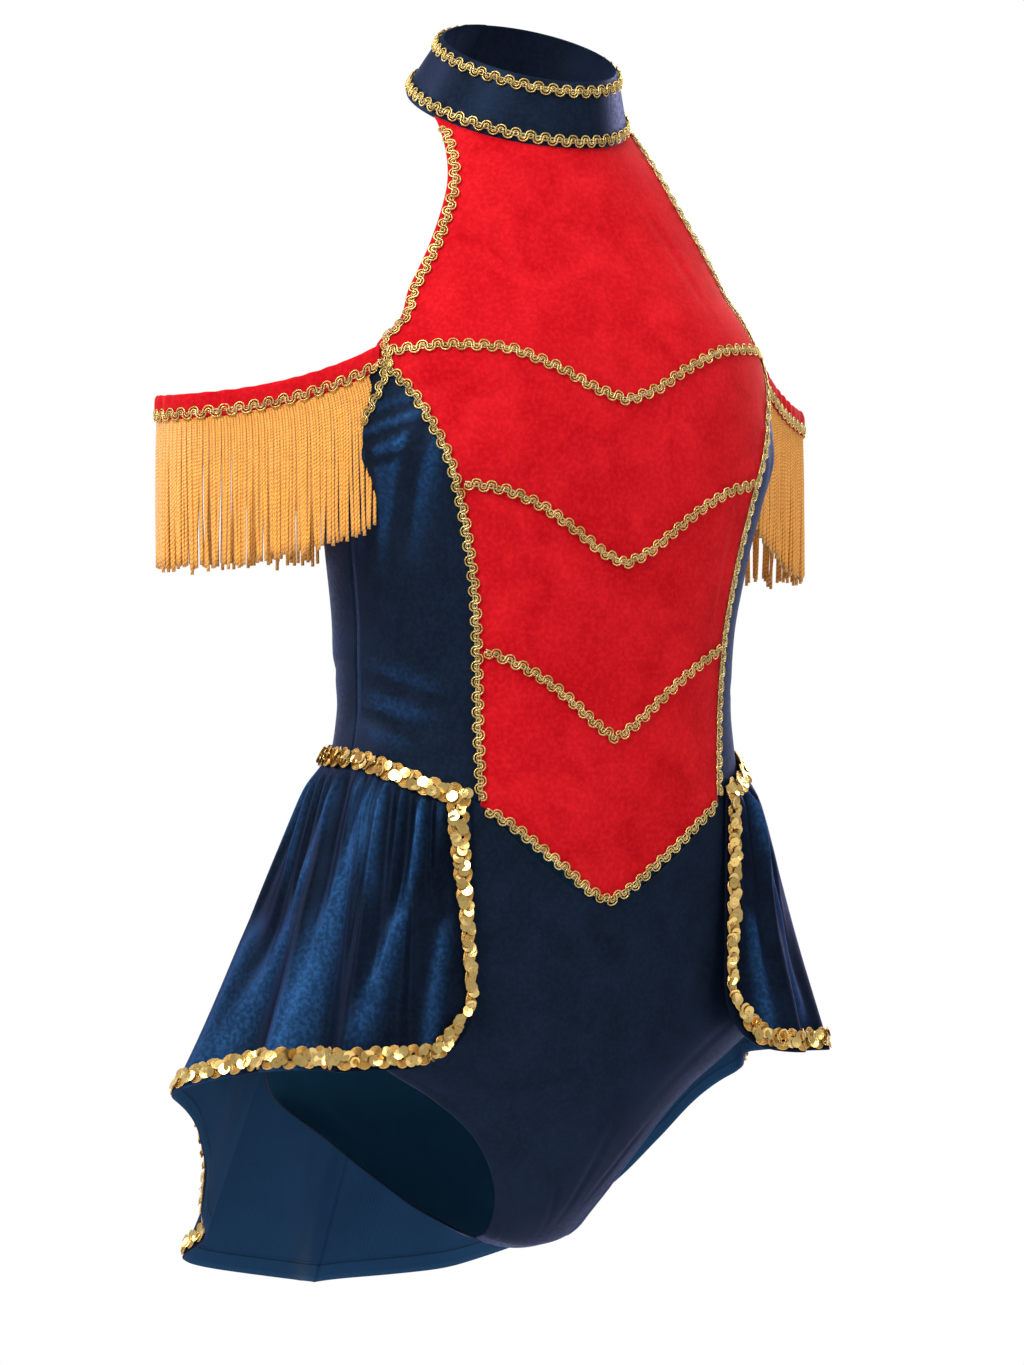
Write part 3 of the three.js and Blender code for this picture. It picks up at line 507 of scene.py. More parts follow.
for cut in FRONT_CUTS:
    across = round(cut["width"] / CLOTH_GRID)
    up = round(cut["length"] / CLOTH_GRID)
    panel = cloth(
        "velvet_" + cut["name"],
        across,
        up,
        lambda u, v, cut=cut: worn(*seam_between(u, v, cut["top"], cut["bottom"])),
        [red_velvet, red_reverse],
    )
    stands_for(panel, cut["name"])
    cut["width"] * MM
    cut["length"] * MM

# Sides and backs
# Blue stretch velvet from the princess seams to the side seams, and on to the centre-back seam. The top edge
# drops under the arm and runs level round the back.
UNDERARM = -190
WAIST_SEAM_FRONT = -399
WAIST_SEAM_SIDE = -376
PRINCESS_TOP = float(seam["yoke"](1))
BACK_TOP = table("angle level", [(90, -190), (115, -180), (140, -177), (160, -180), (180, -182)])
back_top = column(BACK_TOP, "angle", "level")
CORNER_ANGLE = float(front_angle(1, WAIST_SEAM_FRONT))
SIDE_CUT = {"width": 105, "length": 245, "area": 0.0162}
BACK_CUT = {"width": 185, "length": 205, "area": 0.034}
BLUE_SHEEN = (0.06, 0.26, 0.75, 1)
BLUE_ROUGHNESS = (0.36, 0.5)
BLUE_GLOSS = 0.4
blue_velvet = velvet(
    "blue_velvet_pile",
    deep=(0.0058, 0.0095, 0.017, 1),
    lit=(0.0105, 0.019, 0.04, 1),
    bright=(0.02, 0.088, 0.25, 1),
    sheen=BLUE_SHEEN,
    sheen_weight=0.1,
    lustre=0.1,
    roughness=BLUE_ROUGHNESS,
    gloss=BLUE_GLOSS,
)
blue_reverse = reverse_side("blue_velvet_reverse", (0.006, 0.05, 0.11, 1), (0.012, 0.08, 0.16, 1))
SIDES = [(-1, "R"), (1, "L")]
SWELL = 0.6  # a crease's swell, in millimetres, at which the painted highlight is full
BACK_LIGHT = 0.6  # the creases of the back get less of the painted highlight


def waist_level(angle):
    """The waist seam rises from the front corners to the sides and runs level round the back."""
    return mix(WAIST_SEAM_FRONT, WAIST_SEAM_SIDE, ease(np.abs(angle), CORNER_ANGLE - 8, 92))


def underarm_level(share):
    return mix(PRINCESS_TOP, UNDERARM, np.sin(np.clip(share, 0, 1) * math.pi / 2) ** 0.9)


def side_place(share, down):
    """Angle and level on a side front: share goes from the princess seam to the side seam."""
    edge = mix(PRINCESS_TOP, WAIST_SEAM_FRONT, down)
    angle = mix(front_angle(1, edge), 90, share)
    waist_angle = mix(CORNER_ANGLE, 90, share)
    return angle, mix(underarm_level(share), waist_level(waist_angle), down)


def side_front(u, v, side):
    angle, level = side_place(u, 1 - v)
    angle = angle + mix(SEAM_GAP / 4, -SEAM_GAP / 8, u)
    return worn(side * angle, level + SEAM_GAP / 2 * (1 - v))


def crease_painted_highlight(angle, level):
    """Painted highlight: the pile is painted lighter where the cloth swells beside a crease."""
    return np.clip(-crease(angle, level) / SWELL, 0, 1)


# Painted highlight on a side front, beside its creases.
def side_painted_highlight(u, v, side):
    angle, level = side_place(u, 1 - v)
    return crease_painted_highlight(side * angle, level)


# Painted highlight on a back half, beside its creases, weaker than on the side fronts.
def back_painted_highlight(u, v, side):
    angle = mix(90, 180, u)
    return BACK_LIGHT * crease_painted_highlight(side * angle, mix(waist_level(angle), back_top(angle), v))


def back_half(u, v, side):
    angle = mix(90 + SEAM_GAP / 8, 180 - SEAM_GAP / 8, u)
    return worn(side * angle, mix(waist_level(angle) + SEAM_GAP / 2, back_top(angle), v))


for side, mark in SIDES:
    for name, place, cut, nap in (
        ("side_front_", side_front, SIDE_CUT, side_painted_highlight), ("back_", back_half, BACK_CUT, back_painted_highlight)
    ):
        panel = cloth(
            "velvet_" + name + mark,
            round(cut["width"] / CLOTH_GRID),
            round(cut["length"] / CLOTH_GRID),
            lambda u, v, place=place, side=side: place(u, v, side),
            [blue_velvet, blue_reverse],
            nap=lambda u, v, nap=nap, side=side: nap(u, v, side),
        )
        stands_for(panel, name + mark)
        cut["width"] * MM
        cut["length"] * MM

# Brief
# A front and a back of the blue velvet under the peplum, sewn at the sides and under the crotch, with
# high-cut leg openings whose edges are turned in.
CROTCH = -658
LEG_FRONT = table("level half", [
    (-525, 156), (-540, 132), (-556, 112), (-573, 88), (-600, 60), (-630, 40), (-648, 33), (-658, 31),
])
LEG_BACK = table("level half", [
    (-525, 156), (-560, 144), (-590, 112), (-620, 72), (-640, 48), (-653, 35), (-658, 31),
])
leg_front = column(LEG_FRONT, "level", "half")
leg_back = column(LEG_BACK, "level", "half")
BRIEF_COLUMNS = 90
BRIEF_ROWS = 84
BRIEF_SIDE = 0.9985
HIP_SHARE = 0.45  # share of the rows that lie above the hip
BRIEF_CUT = {"brief_front": (400, 290, 0.067), "brief_back": (430, 330, 0.09)}
LEG_EDGE = 9.0
LEG_EDGE_RISE = 0.35


def leg_angle(half, leg, level):
    reach = np.minimum(leg(level), half["half"](level))
    return np.where(level >= HIP, 90, angle_at(half, reach, level))


def brief_place(u, v, half, leg, top_level):
    """Angle from the piece's middle, and level: rows run from waist seam to hip, then to the crotch."""
    angle = 180 * u - 90
    down = 1 - v
    upper = mix(top_level(angle), HIP, np.clip(down / HIP_SHARE, 0, 1))
    lower = mix(HIP, CROTCH, np.clip((down - HIP_SHARE) / (1 - HIP_SHARE), 0, 1) ** 0.85)
    level = np.where(down <= HIP_SHARE, upper, lower)
    return angle / 90 * leg_angle(half, leg, level) * BRIEF_SIDE, level


def front_waist(angle):
    """The brief's upper edge: under the red point in the middle and under the side fronts beside it."""
    size = np.abs(angle)
    reach = np.sin(np.radians(np.minimum(size, CORNER_ANGLE)))
    share = np.clip(reach / math.sin(math.radians(CORNER_ANGLE)), 0, 1)
    level = np.where(size < CORNER_ANGLE, seam["point"](share), waist_level(size))
    return level - SEAM_GAP / 2


def back_waist(angle):
    return waist_level(180 - np.abs(angle)) - SEAM_GAP / 2


def turned_edge(u, angle, level, leg):
    """The brief's points, raised where its leg edges are turned in and sewn."""
    inside = (1 - np.abs(2 * u - 1)) * leg(level)
    rise = LEG_EDGE_RISE * (1 - ease(inside, LEG_EDGE - 1, LEG_EDGE)) * (1 - ease(level, HIP - 12, HIP))
    return worn(angle, level) + facing(figure, angle, level) * rise[..., None]


def brief_front(u, v):
    angle, level = brief_place(u, v, front, leg_front, front_waist)
    return turned_edge(u, angle, level, leg_front)


def brief_back(u, v):
    angle, level = brief_place(u, v, back, leg_back, back_waist)
    return turned_edge(u, np.where(angle < 0, -180 - angle, 180 - angle), level, leg_back)


for name, place in (("brief_front", brief_front), ("brief_back", brief_back)):
    width, length, area = BRIEF_CUT[name]
    panel = cloth("velvet_" + name, BRIEF_COLUMNS, BRIEF_ROWS, place, [blue_velvet, blue_reverse])
    stands_for(panel, name)
    length * MM

# Collar
# One stand band of doubled blue velvet, tilted forward with the neck, with turned edges. Its ends lap over
# each other at the centre back.
COLLAR_TILT = 22
COLLAR_TOP = 25
COLLAR_BOTTOM = -11.5
COLLAR_TOP_RADIUS = 51
COLLAR_BOTTOM_RADIUS = 65
COLLAR_CLOTH = 2.0
COLLAR_RIPPLE = 0.35
COLLAR_LAP = 16.0
COLLAR_LAP_RISE = 1.1
COLLAR_LAP_EASE = 8.0
COLLAR_AROUND = 180
COLLAR_SECTION = 28
COLLAR_SLANT = math.hypot(COLLAR_TOP - COLLAR_BOTTOM, COLLAR_BOTTOM_RADIUS - COLLAR_TOP_RADIUS)
COLLAR_TAPER = math.atan2(COLLAR_BOTTOM_RADIUS - COLLAR_TOP_RADIUS, COLLAR_TOP - COLLAR_BOTTOM)
COLLAR_MIDDLE = (COLLAR_TOP + COLLAR_BOTTOM) / 2


def collar_frames(turn, height):
    """Points at turns of 0 to 1 round the collar from its front, with their upward and outward directions."""
    turn, height = paired(turn, height)
    angle = turn * 2 * math.pi
    share = (height - COLLAR_BOTTOM) / (COLLAR_TOP - COLLAR_BOTTOM)
    radius = mix(COLLAR_BOTTOM_RADIUS, COLLAR_TOP_RADIUS, share)
    past_end = np.abs(angle - math.pi) * radius
    lap = COLLAR_LAP_RISE * ease(angle, math.pi - 0.02, math.pi)
    lap = lap * (1 - ease(past_end, COLLAR_LAP, COLLAR_LAP + COLLAR_LAP_EASE))
    radial = np.stack([np.sin(angle), -np.cos(angle), 0 * angle], -1)
    up = np.array([0, 0, 1.0])
    out = radial * math.cos(COLLAR_TAPER) + up * math.sin(COLLAR_TAPER)
    across = up * math.cos(COLLAR_TAPER) - radial * math.sin(COLLAR_TAPER)
    point = radial * (radius + lap)[..., None] + up * height[..., None]
    tilt = np.array(Matrix.Rotation(math.radians(COLLAR_TILT), 3, "X")).T
    return point @ tilt, across @ tilt, out @ tilt


def flat_section(turn, power):
    """Where a turn lies across a flat band's section, from -1 to 1. A lower power makes it squarer."""
    return np.sign(np.cos(turn)) * np.abs(np.cos(turn)) ** power


def collar_place(u, v):
    """The collar's closed section, a flat band with rounded edges, all the way round."""
    point, across, out = collar_frames(u, COLLAR_MIDDLE)
    turn = 2 * math.pi * v
    reach = COLLAR_SLANT / 2
    a = flat_section(turn, 0.35) * reach
    o = (np.sin(turn) - 1) * COLLAR_CLOTH / 2
    ripple = COLLAR_RIPPLE * np.sin(u * 37) * np.sin(u * 14 + 1) * (1 - (a / reach) ** 2)
    return point + across * a[:, None] + out * (o + ripple)[:, None]


bm = bmesh.new()
shape_grid(bm, COLLAR_AROUND, COLLAR_SECTION, collar_place, closed=True)
bmesh.ops.recalc_face_normals(bm, faces=bm.faces)
collar = finished("velvet_collar", bm, [blue_velvet])
stands_for(collar, "collar_band")

# Scroll braid
# Metallic gold braid, 8 mm wide: two fine cords worked in round scallops over a core, sewn along its middle.
# It covers the V seams and princess seams, and edges the collar, the halter, the underarms and the back.
BRAID_WIDTH = 8.0
BRAID_LIFT = 0.7
BRAID_INSET = 4.6
BRAID_PERIOD = 8.4
BRAID_CORD = 1.55
BRAID_CORDS = 2
BRAID_STEPS = 18
BRAID_SCROLL = -0.62
CORD_THICKNESS = 0.64  # of the space that each cord has
CORD_WELD = 1e-7  # metres
CORE_PLACES = (-0.9, 0.9)
CORE_RADIUS = 0.45
CORE_SINK = 0.3
CORE_STEP = 3
STITCH_SPACING = 2.1
STITCH_WIDTH = 0.4
STITCH_ROWS = (-0.42, 0.42)
STITCH_SPAN = np.array([0.12, 0.5, 0.88])
STITCH_RISE = np.array([-0.5, -0.2, -0.5])
STITCH_SIDES = 3
THREAD_TWIST = 520.0
CORE_TWIST = 900.0


class Line:
    """A line on the costume: points with the direction across it and out of the cloth."""

    def __init__(self, points, across, out):
        self.points = points
        self.across = unit(across)
        self.out = unit(out)
        steps = np.linalg.norm(np.diff(points, axis=0), axis=1)
        self.run = np.concatenate([[0], np.cumsum(steps)])
        self.length = float(self.run[-1])

    def along(self, values, s):
        return np.stack([np.interp(s, self.run, values[:, i]) for i in range(3)], -1)

    def outward(self, s):
        return unit(self.along(self.out, s))

    def at(self, s, a=0.0, o=0.0):
        """Points at a run s, moved across by a and out by o."""
        s, a, o = np.broadcast_arrays(np.asarray(s, float), a, o)
        across = unit(self.along(self.across, s))
        return self.along(self.points, s) + across * a[..., None] + self.outward(s) * o[..., None]


def line_on(surface, angles, levels):
    """A line on the worn figure through angles and levels."""
    points = surface(angles, levels)
    out = facing(surface, angles, levels)
    return Line(points, np.cross(np.gradient(points, axis=0), out), out)


def cord(bm, points, out, radius, sides=4):
    """A round cord through points: radius is in millimetres, a number or one for each point."""
    along = unit(np.gradient(points, axis=0))
    side = unit(np.cross(along, out))
    upward = np.cross(side, along)
    count = len(points)
    radius = np.broadcast_to(radius, count)

    def wrap(u, v):
        i = np.round(u * (count - 1)).astype(int)
        turn = v * 2 * math.pi
        ring = side[i] * np.cos(turn)[:, None] + upward[i] * np.sin(turn)[:, None]
        return points[i] + ring * radius[i][:, None]

    shape_grid(bm, count - 1, sides, wrap)


def close_cords(bm):
    """Welds each cord's seam and caps its ends."""
    bmesh.ops.remove_doubles(bm, verts=bm.verts, dist=CORD_WELD)
    bmesh.ops.holes_fill(bm, edges=[e for e in bm.edges if e.is_boundary], sides=0)
    bmesh.ops.recalc_face_normals(bm, faces=bm.faces)


def metal_thread(name, deep, bright, roughness, twist=THREAD_TWIST):
    """Metallic thread wound on a core: fine ridges round the cord, with a painted highlight on their crests
    and painted shade between them; a tarnish noise also darkens it at random.
    """
    finish = Finish(name)
    wound_relief_and_painted_shade = finish.node("TexWave", {"bands_direction": "DIAGONAL"}, {
        "Vector": finish.place(), "Scale": twist, "Distortion": 6.0, "Detail": 1.0,
    })
    tarnish = finish.noise(finish.place(), 90.0, 3.0)
    colour = finish.colours(wound_relief_and_painted_shade * 0.55 + finish.limits(tarnish, 0.35, 0.7) * 0.45, deep, bright)
    return finish.shade({
        "Base Color": colour,
        "Metallic": 0.88,
        "Roughness": finish.limits(wound_relief_and_painted_shade, 0.0, 1.0, roughness + 0.12, roughness),
        "Normal": finish.emboss(wound_relief_and_painted_shade, 0.12, 0.6),
    })


braid_gold = metal_thread("braid_gold", (0.36, 0.2, 0.03, 1), (1.0, 0.78, 0.3, 1), 0.26)
braid_core = metal_thread("braid_core", (0.55, 0.4, 0.15, 1), (0.98, 0.86, 0.5, 1), 0.4, CORE_TWIST)


def scroll_paths(line, width, period, cords, thick, scroll, lift, steps):
    """The paths of parallel cords in a wave with full, round crests, as scrolls have."""
    reach = (width - cords * thick) / 2
    waves = max(round(line.length / period), 1)
    count = waves * steps + 1
    phase = np.linspace(0, waves * 2 * math.pi, count)
    middle = phase / (2 * math.pi) * (line.length / waves)
    s = middle + scroll * np.sin(2 * phase)
    a = reach * np.sin(phase)
    turn = np.arctan2(np.gradient(a), np.gradient(s))
    for i in range(cords):
        beside = (i - (cords - 1) / 2) * thick
        crown = lift + thick / 2 + 0.12 * thick * np.cos(2 * phase + i)
        place_s = np.clip(s - beside * np.sin(turn), 0, line.length)
        yield line.at(place_s, a + beside * np.cos(turn), crown), line.outward(place_s)


def braid(node, line):
    """A piece of scroll braid along a line, with its core and its sewing."""
    bm = bmesh.new()
    for points, out in scroll_paths(
        line, BRAID_WIDTH, BRAID_PERIOD, BRAID_CORDS, BRAID_CORD, BRAID_SCROLL, BRAID_LIFT, BRAID_STEPS
    ):
        cord(bm, points, out, CORD_THICKNESS * BRAID_CORD / 2)
    close_cords(bm)
    laid = len(bm.faces)
    s = np.linspace(0, line.length, max(round(line.length / CORE_STEP), 2))
    for a in CORE_PLACES:
        cord(bm, line.at(s, a, BRAID_LIFT - CORE_SINK), line.outward(s), CORE_RADIUS)
    stitches = max(round(line.length / STITCH_SPACING), 2)
    rise = BRAID_LIFT + BRAID_CORD + STITCH_RISE
    for row in STITCH_ROWS:
        for i in range(stitches):
            ends = (i + STITCH_SPAN) / stitches * line.length
            cord(bm, line.at(ends, row, rise), line.outward(ends), STITCH_WIDTH / 2, STITCH_SIDES)
    close_cords(bm)
    bm.faces.ensure_lookup_table()
    for face in bm.faces[laid:]:
        face.material_index = 1
    stands_for(finished("scroll_" + node, bm, [braid_gold, braid_core]), node)


COLLAR_BRAID_EDGE = 5.2
COLLAR_BRAID_TURNS = (0.501, 1.499)  # it starts and ends at the centre back
for node, height in (
    ("collar_braid_top", COLLAR_TOP - COLLAR_BRAID_EDGE),
    ("collar_braid_bottom", COLLAR_BOTTOM + COLLAR_BRAID_EDGE),
):
    turns = np.linspace(*COLLAR_BRAID_TURNS, 240)
    braid(node, Line(*collar_frames(turns % 1.0, height)))

BRAID_ENDS = {"yoke": 2, "bust": 4, "midriff": 4, "point": 3}
for name, clearance in BRAID_ENDS.items():
    end = 1 - clearance / float(front_width(seam[name](1)))
    shares = np.linspace(-end, end, 160)
    levels = seam[name](np.abs(shares))
    braid("braid_" + name, line_on(worn, front_angle(shares, levels), levels))

PRINCESS_BRAID = (-154, -398.5)
HALTER = (-37.5, -143)
UNDERARM_EDGE = -160
UNDERARM_CORNER = (0.04, -153.5)
for side, mark in SIDES:
    levels = np.linspace(*PRINCESS_BRAID, 120)
    braid("braid_princess_" + mark, line_on(worn, side * front_angle(1, levels), levels))
    halter = np.linspace(*HALTER, 60)
    halter_edge = angle_at(front, front_width(halter), halter)
    degree = np.linalg.norm(figure(halter_edge, halter) - figure(halter_edge - 1, halter), axis=-1)
    edge_angle = float(front_angle(1, UNDERARM_EDGE))
    underarm = np.linspace(0.2, 0.8, 30)
    back_angles = np.linspace(90, 179.7, 60)
    angles = np.concatenate([
        halter_edge - BRAID_INSET / degree,
        [mix(edge_angle, 90, UNDERARM_CORNER[0])],
        mix(edge_angle, 90, underarm),
        back_angles,
    ])
    levels = np.concatenate([
        halter,
        [UNDERARM_CORNER[1]],
        underarm_level(underarm) - BRAID_INSET,
        back_top(back_angles) - BRAID_INSET,
    ])
    braid("braid_edge_" + mark, line_on(worn, side * angles, levels))

# Arm bands
# A soft tube of the red velvet on elastic, slightly puckered, from the underarm point round the outside of
# the arm to the top of the back, with a scroll braid along its lower edge.
BAND_HEIGHT = 14.0
BAND_CLOTH = 2.4
BAND_START = 2.0
BAND_END = 2.6
ARM_RADIUS = 43
ARM_CENTRE = np.array([166.0, 36.0])
BAND_FRONT = np.array([124.8, -51.9, -143.5])
BAND_BACK = np.array([106.0, 36.4, -170.0])
BAND_OUTER_LEVEL = {"R": -173, "L": -181}
BAND_BRAID_EDGE = 3.0
BAND_BRAID_LIFT = 0.3
BAND_PUCKERS = 52
BAND_PUFF = 0.22
BAND_ROWS = 320
BAND_SECTION = 18


def band_line(side, mark, start, end, lower):
    """A line along the arm band from its front end to its back end, a distance below its top."""
    def touch(spot, sign):
        reach = ARM_CENTRE - spot[:2]
        return math.atan2(reach[1], reach[0]) + sign * math.acos(-ARM_RADIUS / math.hypot(*reach))

    first = touch(BAND_FRONT, -1)
    last = touch(BAND_BACK, 1)
    if last < first:
        last += 2 * math.pi
    turns = np.linspace(first, last, 120)
    arm = ARM_CENTRE + ARM_RADIUS * np.stack([np.cos(turns), np.sin(turns)], -1)
    ahead = mix(BAND_FRONT[:2], arm[0], np.linspace(0, 1, 60)[:-1, None])
    behind = mix(arm[-1], BAND_BACK[:2], np.linspace(0, 1, 30)[1:, None])
    flat = np.concatenate([ahead, arm, behind])
    run = np.concatenate([[0], np.cumsum(np.linalg.norm(np.diff(flat, axis=0), axis=1))])
    places = np.linspace(start, run[-1] - end, 200)
    share = places / run[-1]
    bow = np.sin(math.pi * share) ** 0.8
    level = mix(mix(BAND_FRONT[2], BAND_BACK[2], share), BAND_OUTER_LEVEL[mark], bow) - lower
    x = np.interp(places, run, flat[:, 0]) * side
    y = np.interp(places, run, flat[:, 1])
    points = np.stack([x, y, level], -1)
    along = np.gradient(points * np.array([1, 1, 0]), axis=0)
    down = np.broadcast_to(np.array([0, 0, -1.0]), points.shape)
    return Line(points, down, side * np.cross(down, along))


for side, mark in SIDES:
    line = band_line(side, mark, BAND_START, BAND_END, BAND_HEIGHT / 2)

    def band_place(u, v, line=line, side=side):
        turn = -2 * math.pi * v
        s = u * line.length
        pucker = np.sin(BAND_PUCKERS * math.pi * u + 1.3 * np.sin(9 * u)) * np.sin(17 * u + side)
        full = 1 + BAND_PUFF * pucker
        a = flat_section(turn, 0.55) * (BAND_HEIGHT / 2) * (1 + 0.03 * pucker)
        o = 0.2 + (1 + np.sin(turn)) * (BAND_CLOTH / 2 + 0.5) * full
        return line.at(s, a, o)

    bm = bmesh.new()
    shape_grid(bm, BAND_ROWS, BAND_SECTION, band_place, closed=True)
    close_cords(bm)
    band = finished("velvet_arm_band_" + mark, bm, [red_velvet])
    stands_for(band, "arm_band_" + mark)
    trim = band_line(side, mark, BAND_START + 1, BAND_END + 1, BAND_HEIGHT - BAND_BRAID_EDGE)
    trim.points = trim.points + trim.out * (BAND_CLOTH + BAND_BRAID_LIFT)
    braid("braid_arm_" + mark, trim)

# Fringe
# Twisted rayon cords, about 82 mm long, in a close row from a narrow woven heading under the arm band. Each
# hangs a little differently from the one beside it.
HEADER_HEIGHT = 5.0
HEADER_TUCK = 1.6  # of the heading that is sewn behind the band
HEADER_LIFT = 1.2
HEADER_CLOTH = 2.2
HEADER_ROWS = 200
HEADER_SECTION = 10
FRINGE_START = 8
FRINGE_END = 8
STRANDS = 152
STRAND_LENGTH = 82.0
STRAND_WIDTH = 2.05
STRAND_ROWS = 18
STRAND_SIDES = 5
STRAND_UNEVEN = 1.6
STRAND_WAVE = 0.5
STRAND_SWING = 0.7
STRAND_BOW = 0.8
STRAND_CLUMP = 0.8
STRAND_SWAY = 1.1
STRAND_TURN = 9.0  # below this depth the cords hang straight down
STRAND_TWIST = 260.0
STRAND_PLIES = 12.566  # radians of the twist in one turn round the cord, for two plies
rng = np.random.default_rng(7)


def fringe_finish():
    finish = Finish("fringe_rayon")
    along = finish.node("SeparateXYZ", sockets={0: finish.place("UV")})
    round_it = finish.node("SeparateXYZ", sockets={0: finish.place("UV")}, output=1)
    twist = finish.node("Math", {"operation": "SINE"}, {0: along * STRAND_TWIST + round_it * STRAND_PLIES})
    ply_relief_and_painted_shade = finish.limits(twist, -1.0, 1.0)
    lock = finish.noise(finish.place(), 160.0, 2.0)
    # The plies are painted lighter on their crests and darker in the grooves between them, a painted
    # highlight and shade; the lock noise varies the tone at random.
    shade = finish.colours(ply_relief_and_painted_shade * 0.6 + lock * 0.4, (0.56, 0.18, 0.01, 1), (0.98, 0.48, 0.06, 1))
    return finish.shade({
        "Base Color": shade,
        "Roughness": 0.38,
        "Specular IOR Level": 0.6,
        "Sheen Weight": 0.25,
        "Normal": finish.emboss(ply_relief_and_painted_shade, 0.25, 0.8),
    })


fringe_rayon = fringe_finish()
for side, mark in SIDES:
    line = band_line(side, mark, FRINGE_START, FRINGE_END, BAND_HEIGHT - HEADER_TUCK + HEADER_HEIGHT / 2)
    bm = bmesh.new()

    def header_place(u, v, line=line):
        turn = -2 * math.pi * v
        a = flat_section(turn, 0.5) * HEADER_HEIGHT / 2
        o = HEADER_LIFT + np.sin(turn) * HEADER_CLOTH / 2
        return line.at(u * line.length, a, o)

    shape_grid(bm, HEADER_ROWS, HEADER_SECTION, header_place)
    for i in range(STRANDS):
        s = (i + 0.5) / STRANDS * line.length
        root = line.at(s, 0.0, HEADER_LIFT + 0.5 + 0.4 * (i % 2))
        out = line.outward(s)
        ahead = line.at(s + 0.5) - line.at(s - 0.5)
        climb = ahead[2] / np.linalg.norm(ahead)
        along = unit(ahead * np.array([1, 1, 0]))
        t = np.linspace(0, 1, STRAND_ROWS) ** 1.3
        lean = rng.normal(0, STRAND_SWAY)
        wave = rng.normal(0, STRAND_WAVE) * np.sin(t * rng.uniform(2, 6) + rng.uniform(0, 6))
        length = STRAND_LENGTH + rng.normal(0, STRAND_UNEVEN)
        clump = STRAND_CLUMP * math.sin(i * 0.9) * t**1.5
        clump = clump + climb * STRAND_TURN * (1 - np.exp(-t * length / STRAND_TURN))
        points = root + np.outer(lean * t**1.4 + wave * t + clump, along)
        points = points + np.outer(rng.normal(0, STRAND_SWING) * t**2 + STRAND_BOW * np.sin(math.pi * t), out)
        points[:, 2] -= (length + 1) * t - 0.5
        cord(bm, points, np.broadcast_to(out, points.shape), STRAND_WIDTH / 2, STRAND_SIDES)
    close_cords(bm)
    stands_for(finished("rayon_fringe_" + mark, bm, [fringe_rayon]), "fringe_" + mark)

# Peplum and tail
# Two halves of blue velvet with a centre-back seam, gathered into the waist seam: short over the front of the
# hips, and falling to a long tail behind. The hem and the front edges are turned in and stitched.
SKIRT_CLOTH = 1.2
SKIRT_LIFT = 1.1
SKIRT_START = 38.5
CORNER_RADIUS = 40.0
HEM = table("share x y z", [
    (0, 84, -84, -545),
    (0.1, 120, -82, -546),
    (0.22, 152, -64, -547),
    (0.34, 166, -30, -548),
    (0.46, 170, 12, -552),
    (0.57, 168, 58, -570),
    (0.65, 155, 90, -608),
    (0.72, 136, 120, -640),
    (0.86, 82, 166, -680),
    (1, 0, 205, -696),
])
hem = {name: column(HEM, "share", name) for name in ("x", "y", "z")}
# Soft folds: place and width as shares of the waist seam, how far each stands out at the hem, how far its
# crest sweeps back, and how late it starts
FOLDS = {
    "R": table("share width rise sweep late", [
        (0.1, 0.034, 10, 0, 1.2),
        (0.22, 0.04, 16, 0, 1.2),
        (0.37, 0.045, 18, 0, 1.2),
        (0.55, 0.05, 27, 0, 1.2),
        (0.715, 0.04, 2, 0, 2.6),
        (0.825, 0.045, 30, -6, 1.4),
        (0.92, 0.035, -12, 0, 2.6),
        (1, 0.045, 22, 0, 1.2),
    ]),
    "L": table("share width rise sweep late", [
        (0.12, 0.036, 12, 0, 1.2),
        (0.25, 0.04, 16, 0, 1.2),
        (0.39, 0.042, 18, 0, 1.2),
        (0.56, 0.046, 22, 0, 1.2),
        (0.7, 0.04, 2, 0, 2.6),
        (0.81, 0.046, 30, -8, 1.4),
        (0.91, 0.036, -10, 0, 2.6),
        (1, 0.045, 22, 0, 1.2),
    ]),
}
# Shallow folds with a painted highlight along them: place at the seam, how far the fold moves back on its way
# down, its half width at the seam and at the hem, where it starts and ends, and how strong it is, in its rise
# and its painted highlight
LIT_FOLDS = table("share shift thin wide start end strength", [
    (0.04, 0.035, 0.01, 0.013, 0.45, 1.05, 0.75),
    (0.113, 0.085, 0.009, 0.017, 0.02, 1.0, 0.85),
    (0.218, -0.03, 0.01, 0.012, 0.02, 0.5, 0.5),
    (0.24, 0.03, 0.009, 0.018, 0.02, 0.4, 0.5),
    (0.27, 0.08, 0.011, 0.037, 0.04, 1.15, 1.0),
    (0.376, 0.135, 0.012, 0.027, 0.02, 1.15, 0.85),
    (0.5, -0.05, 0.007, 0.01, 0.02, 0.45, 0.5),
    (0.52, 0.03, 0.012, 0.022, 0.45, 1.2, 0.55),
    (0.57, 0.06, 0.01, 0.022, 0.02, 1.1, 0.8),
    (0.67, -0.02, 0.009, 0.015, 0.02, 0.55, 0.55),
    (0.69, 0.05, 0.01, 0.03, 0.05, 1.15, 0.95),
    (0.78, 0.06, 0.01, 0.02, 0.02, 0.95, 0.7),
    (0.86, -0.02, 0.009, 0.014, 0.02, 0.6, 0.5),
    (0.88, 0.05, 0.01, 0.026, 0.06, 1.15, 0.8),
])
LIT_RISE = 4.0
LIT_FADE_IN = 0.12
LIT_FADE_OUT = 0.2
GATHERS = 21
PAINTED_HIGHLIGHT_SHIFT = 0.35  # of a gather's width, towards the front edge, by which the painted highlight is moved off the gather
GATHER_FLANK = 0.45  # share of a gather's width that gets the painted highlight
GATHER_LIGHT = 0.7
SKIRT_COLUMNS = 250
SKIRT_ROWS = 84


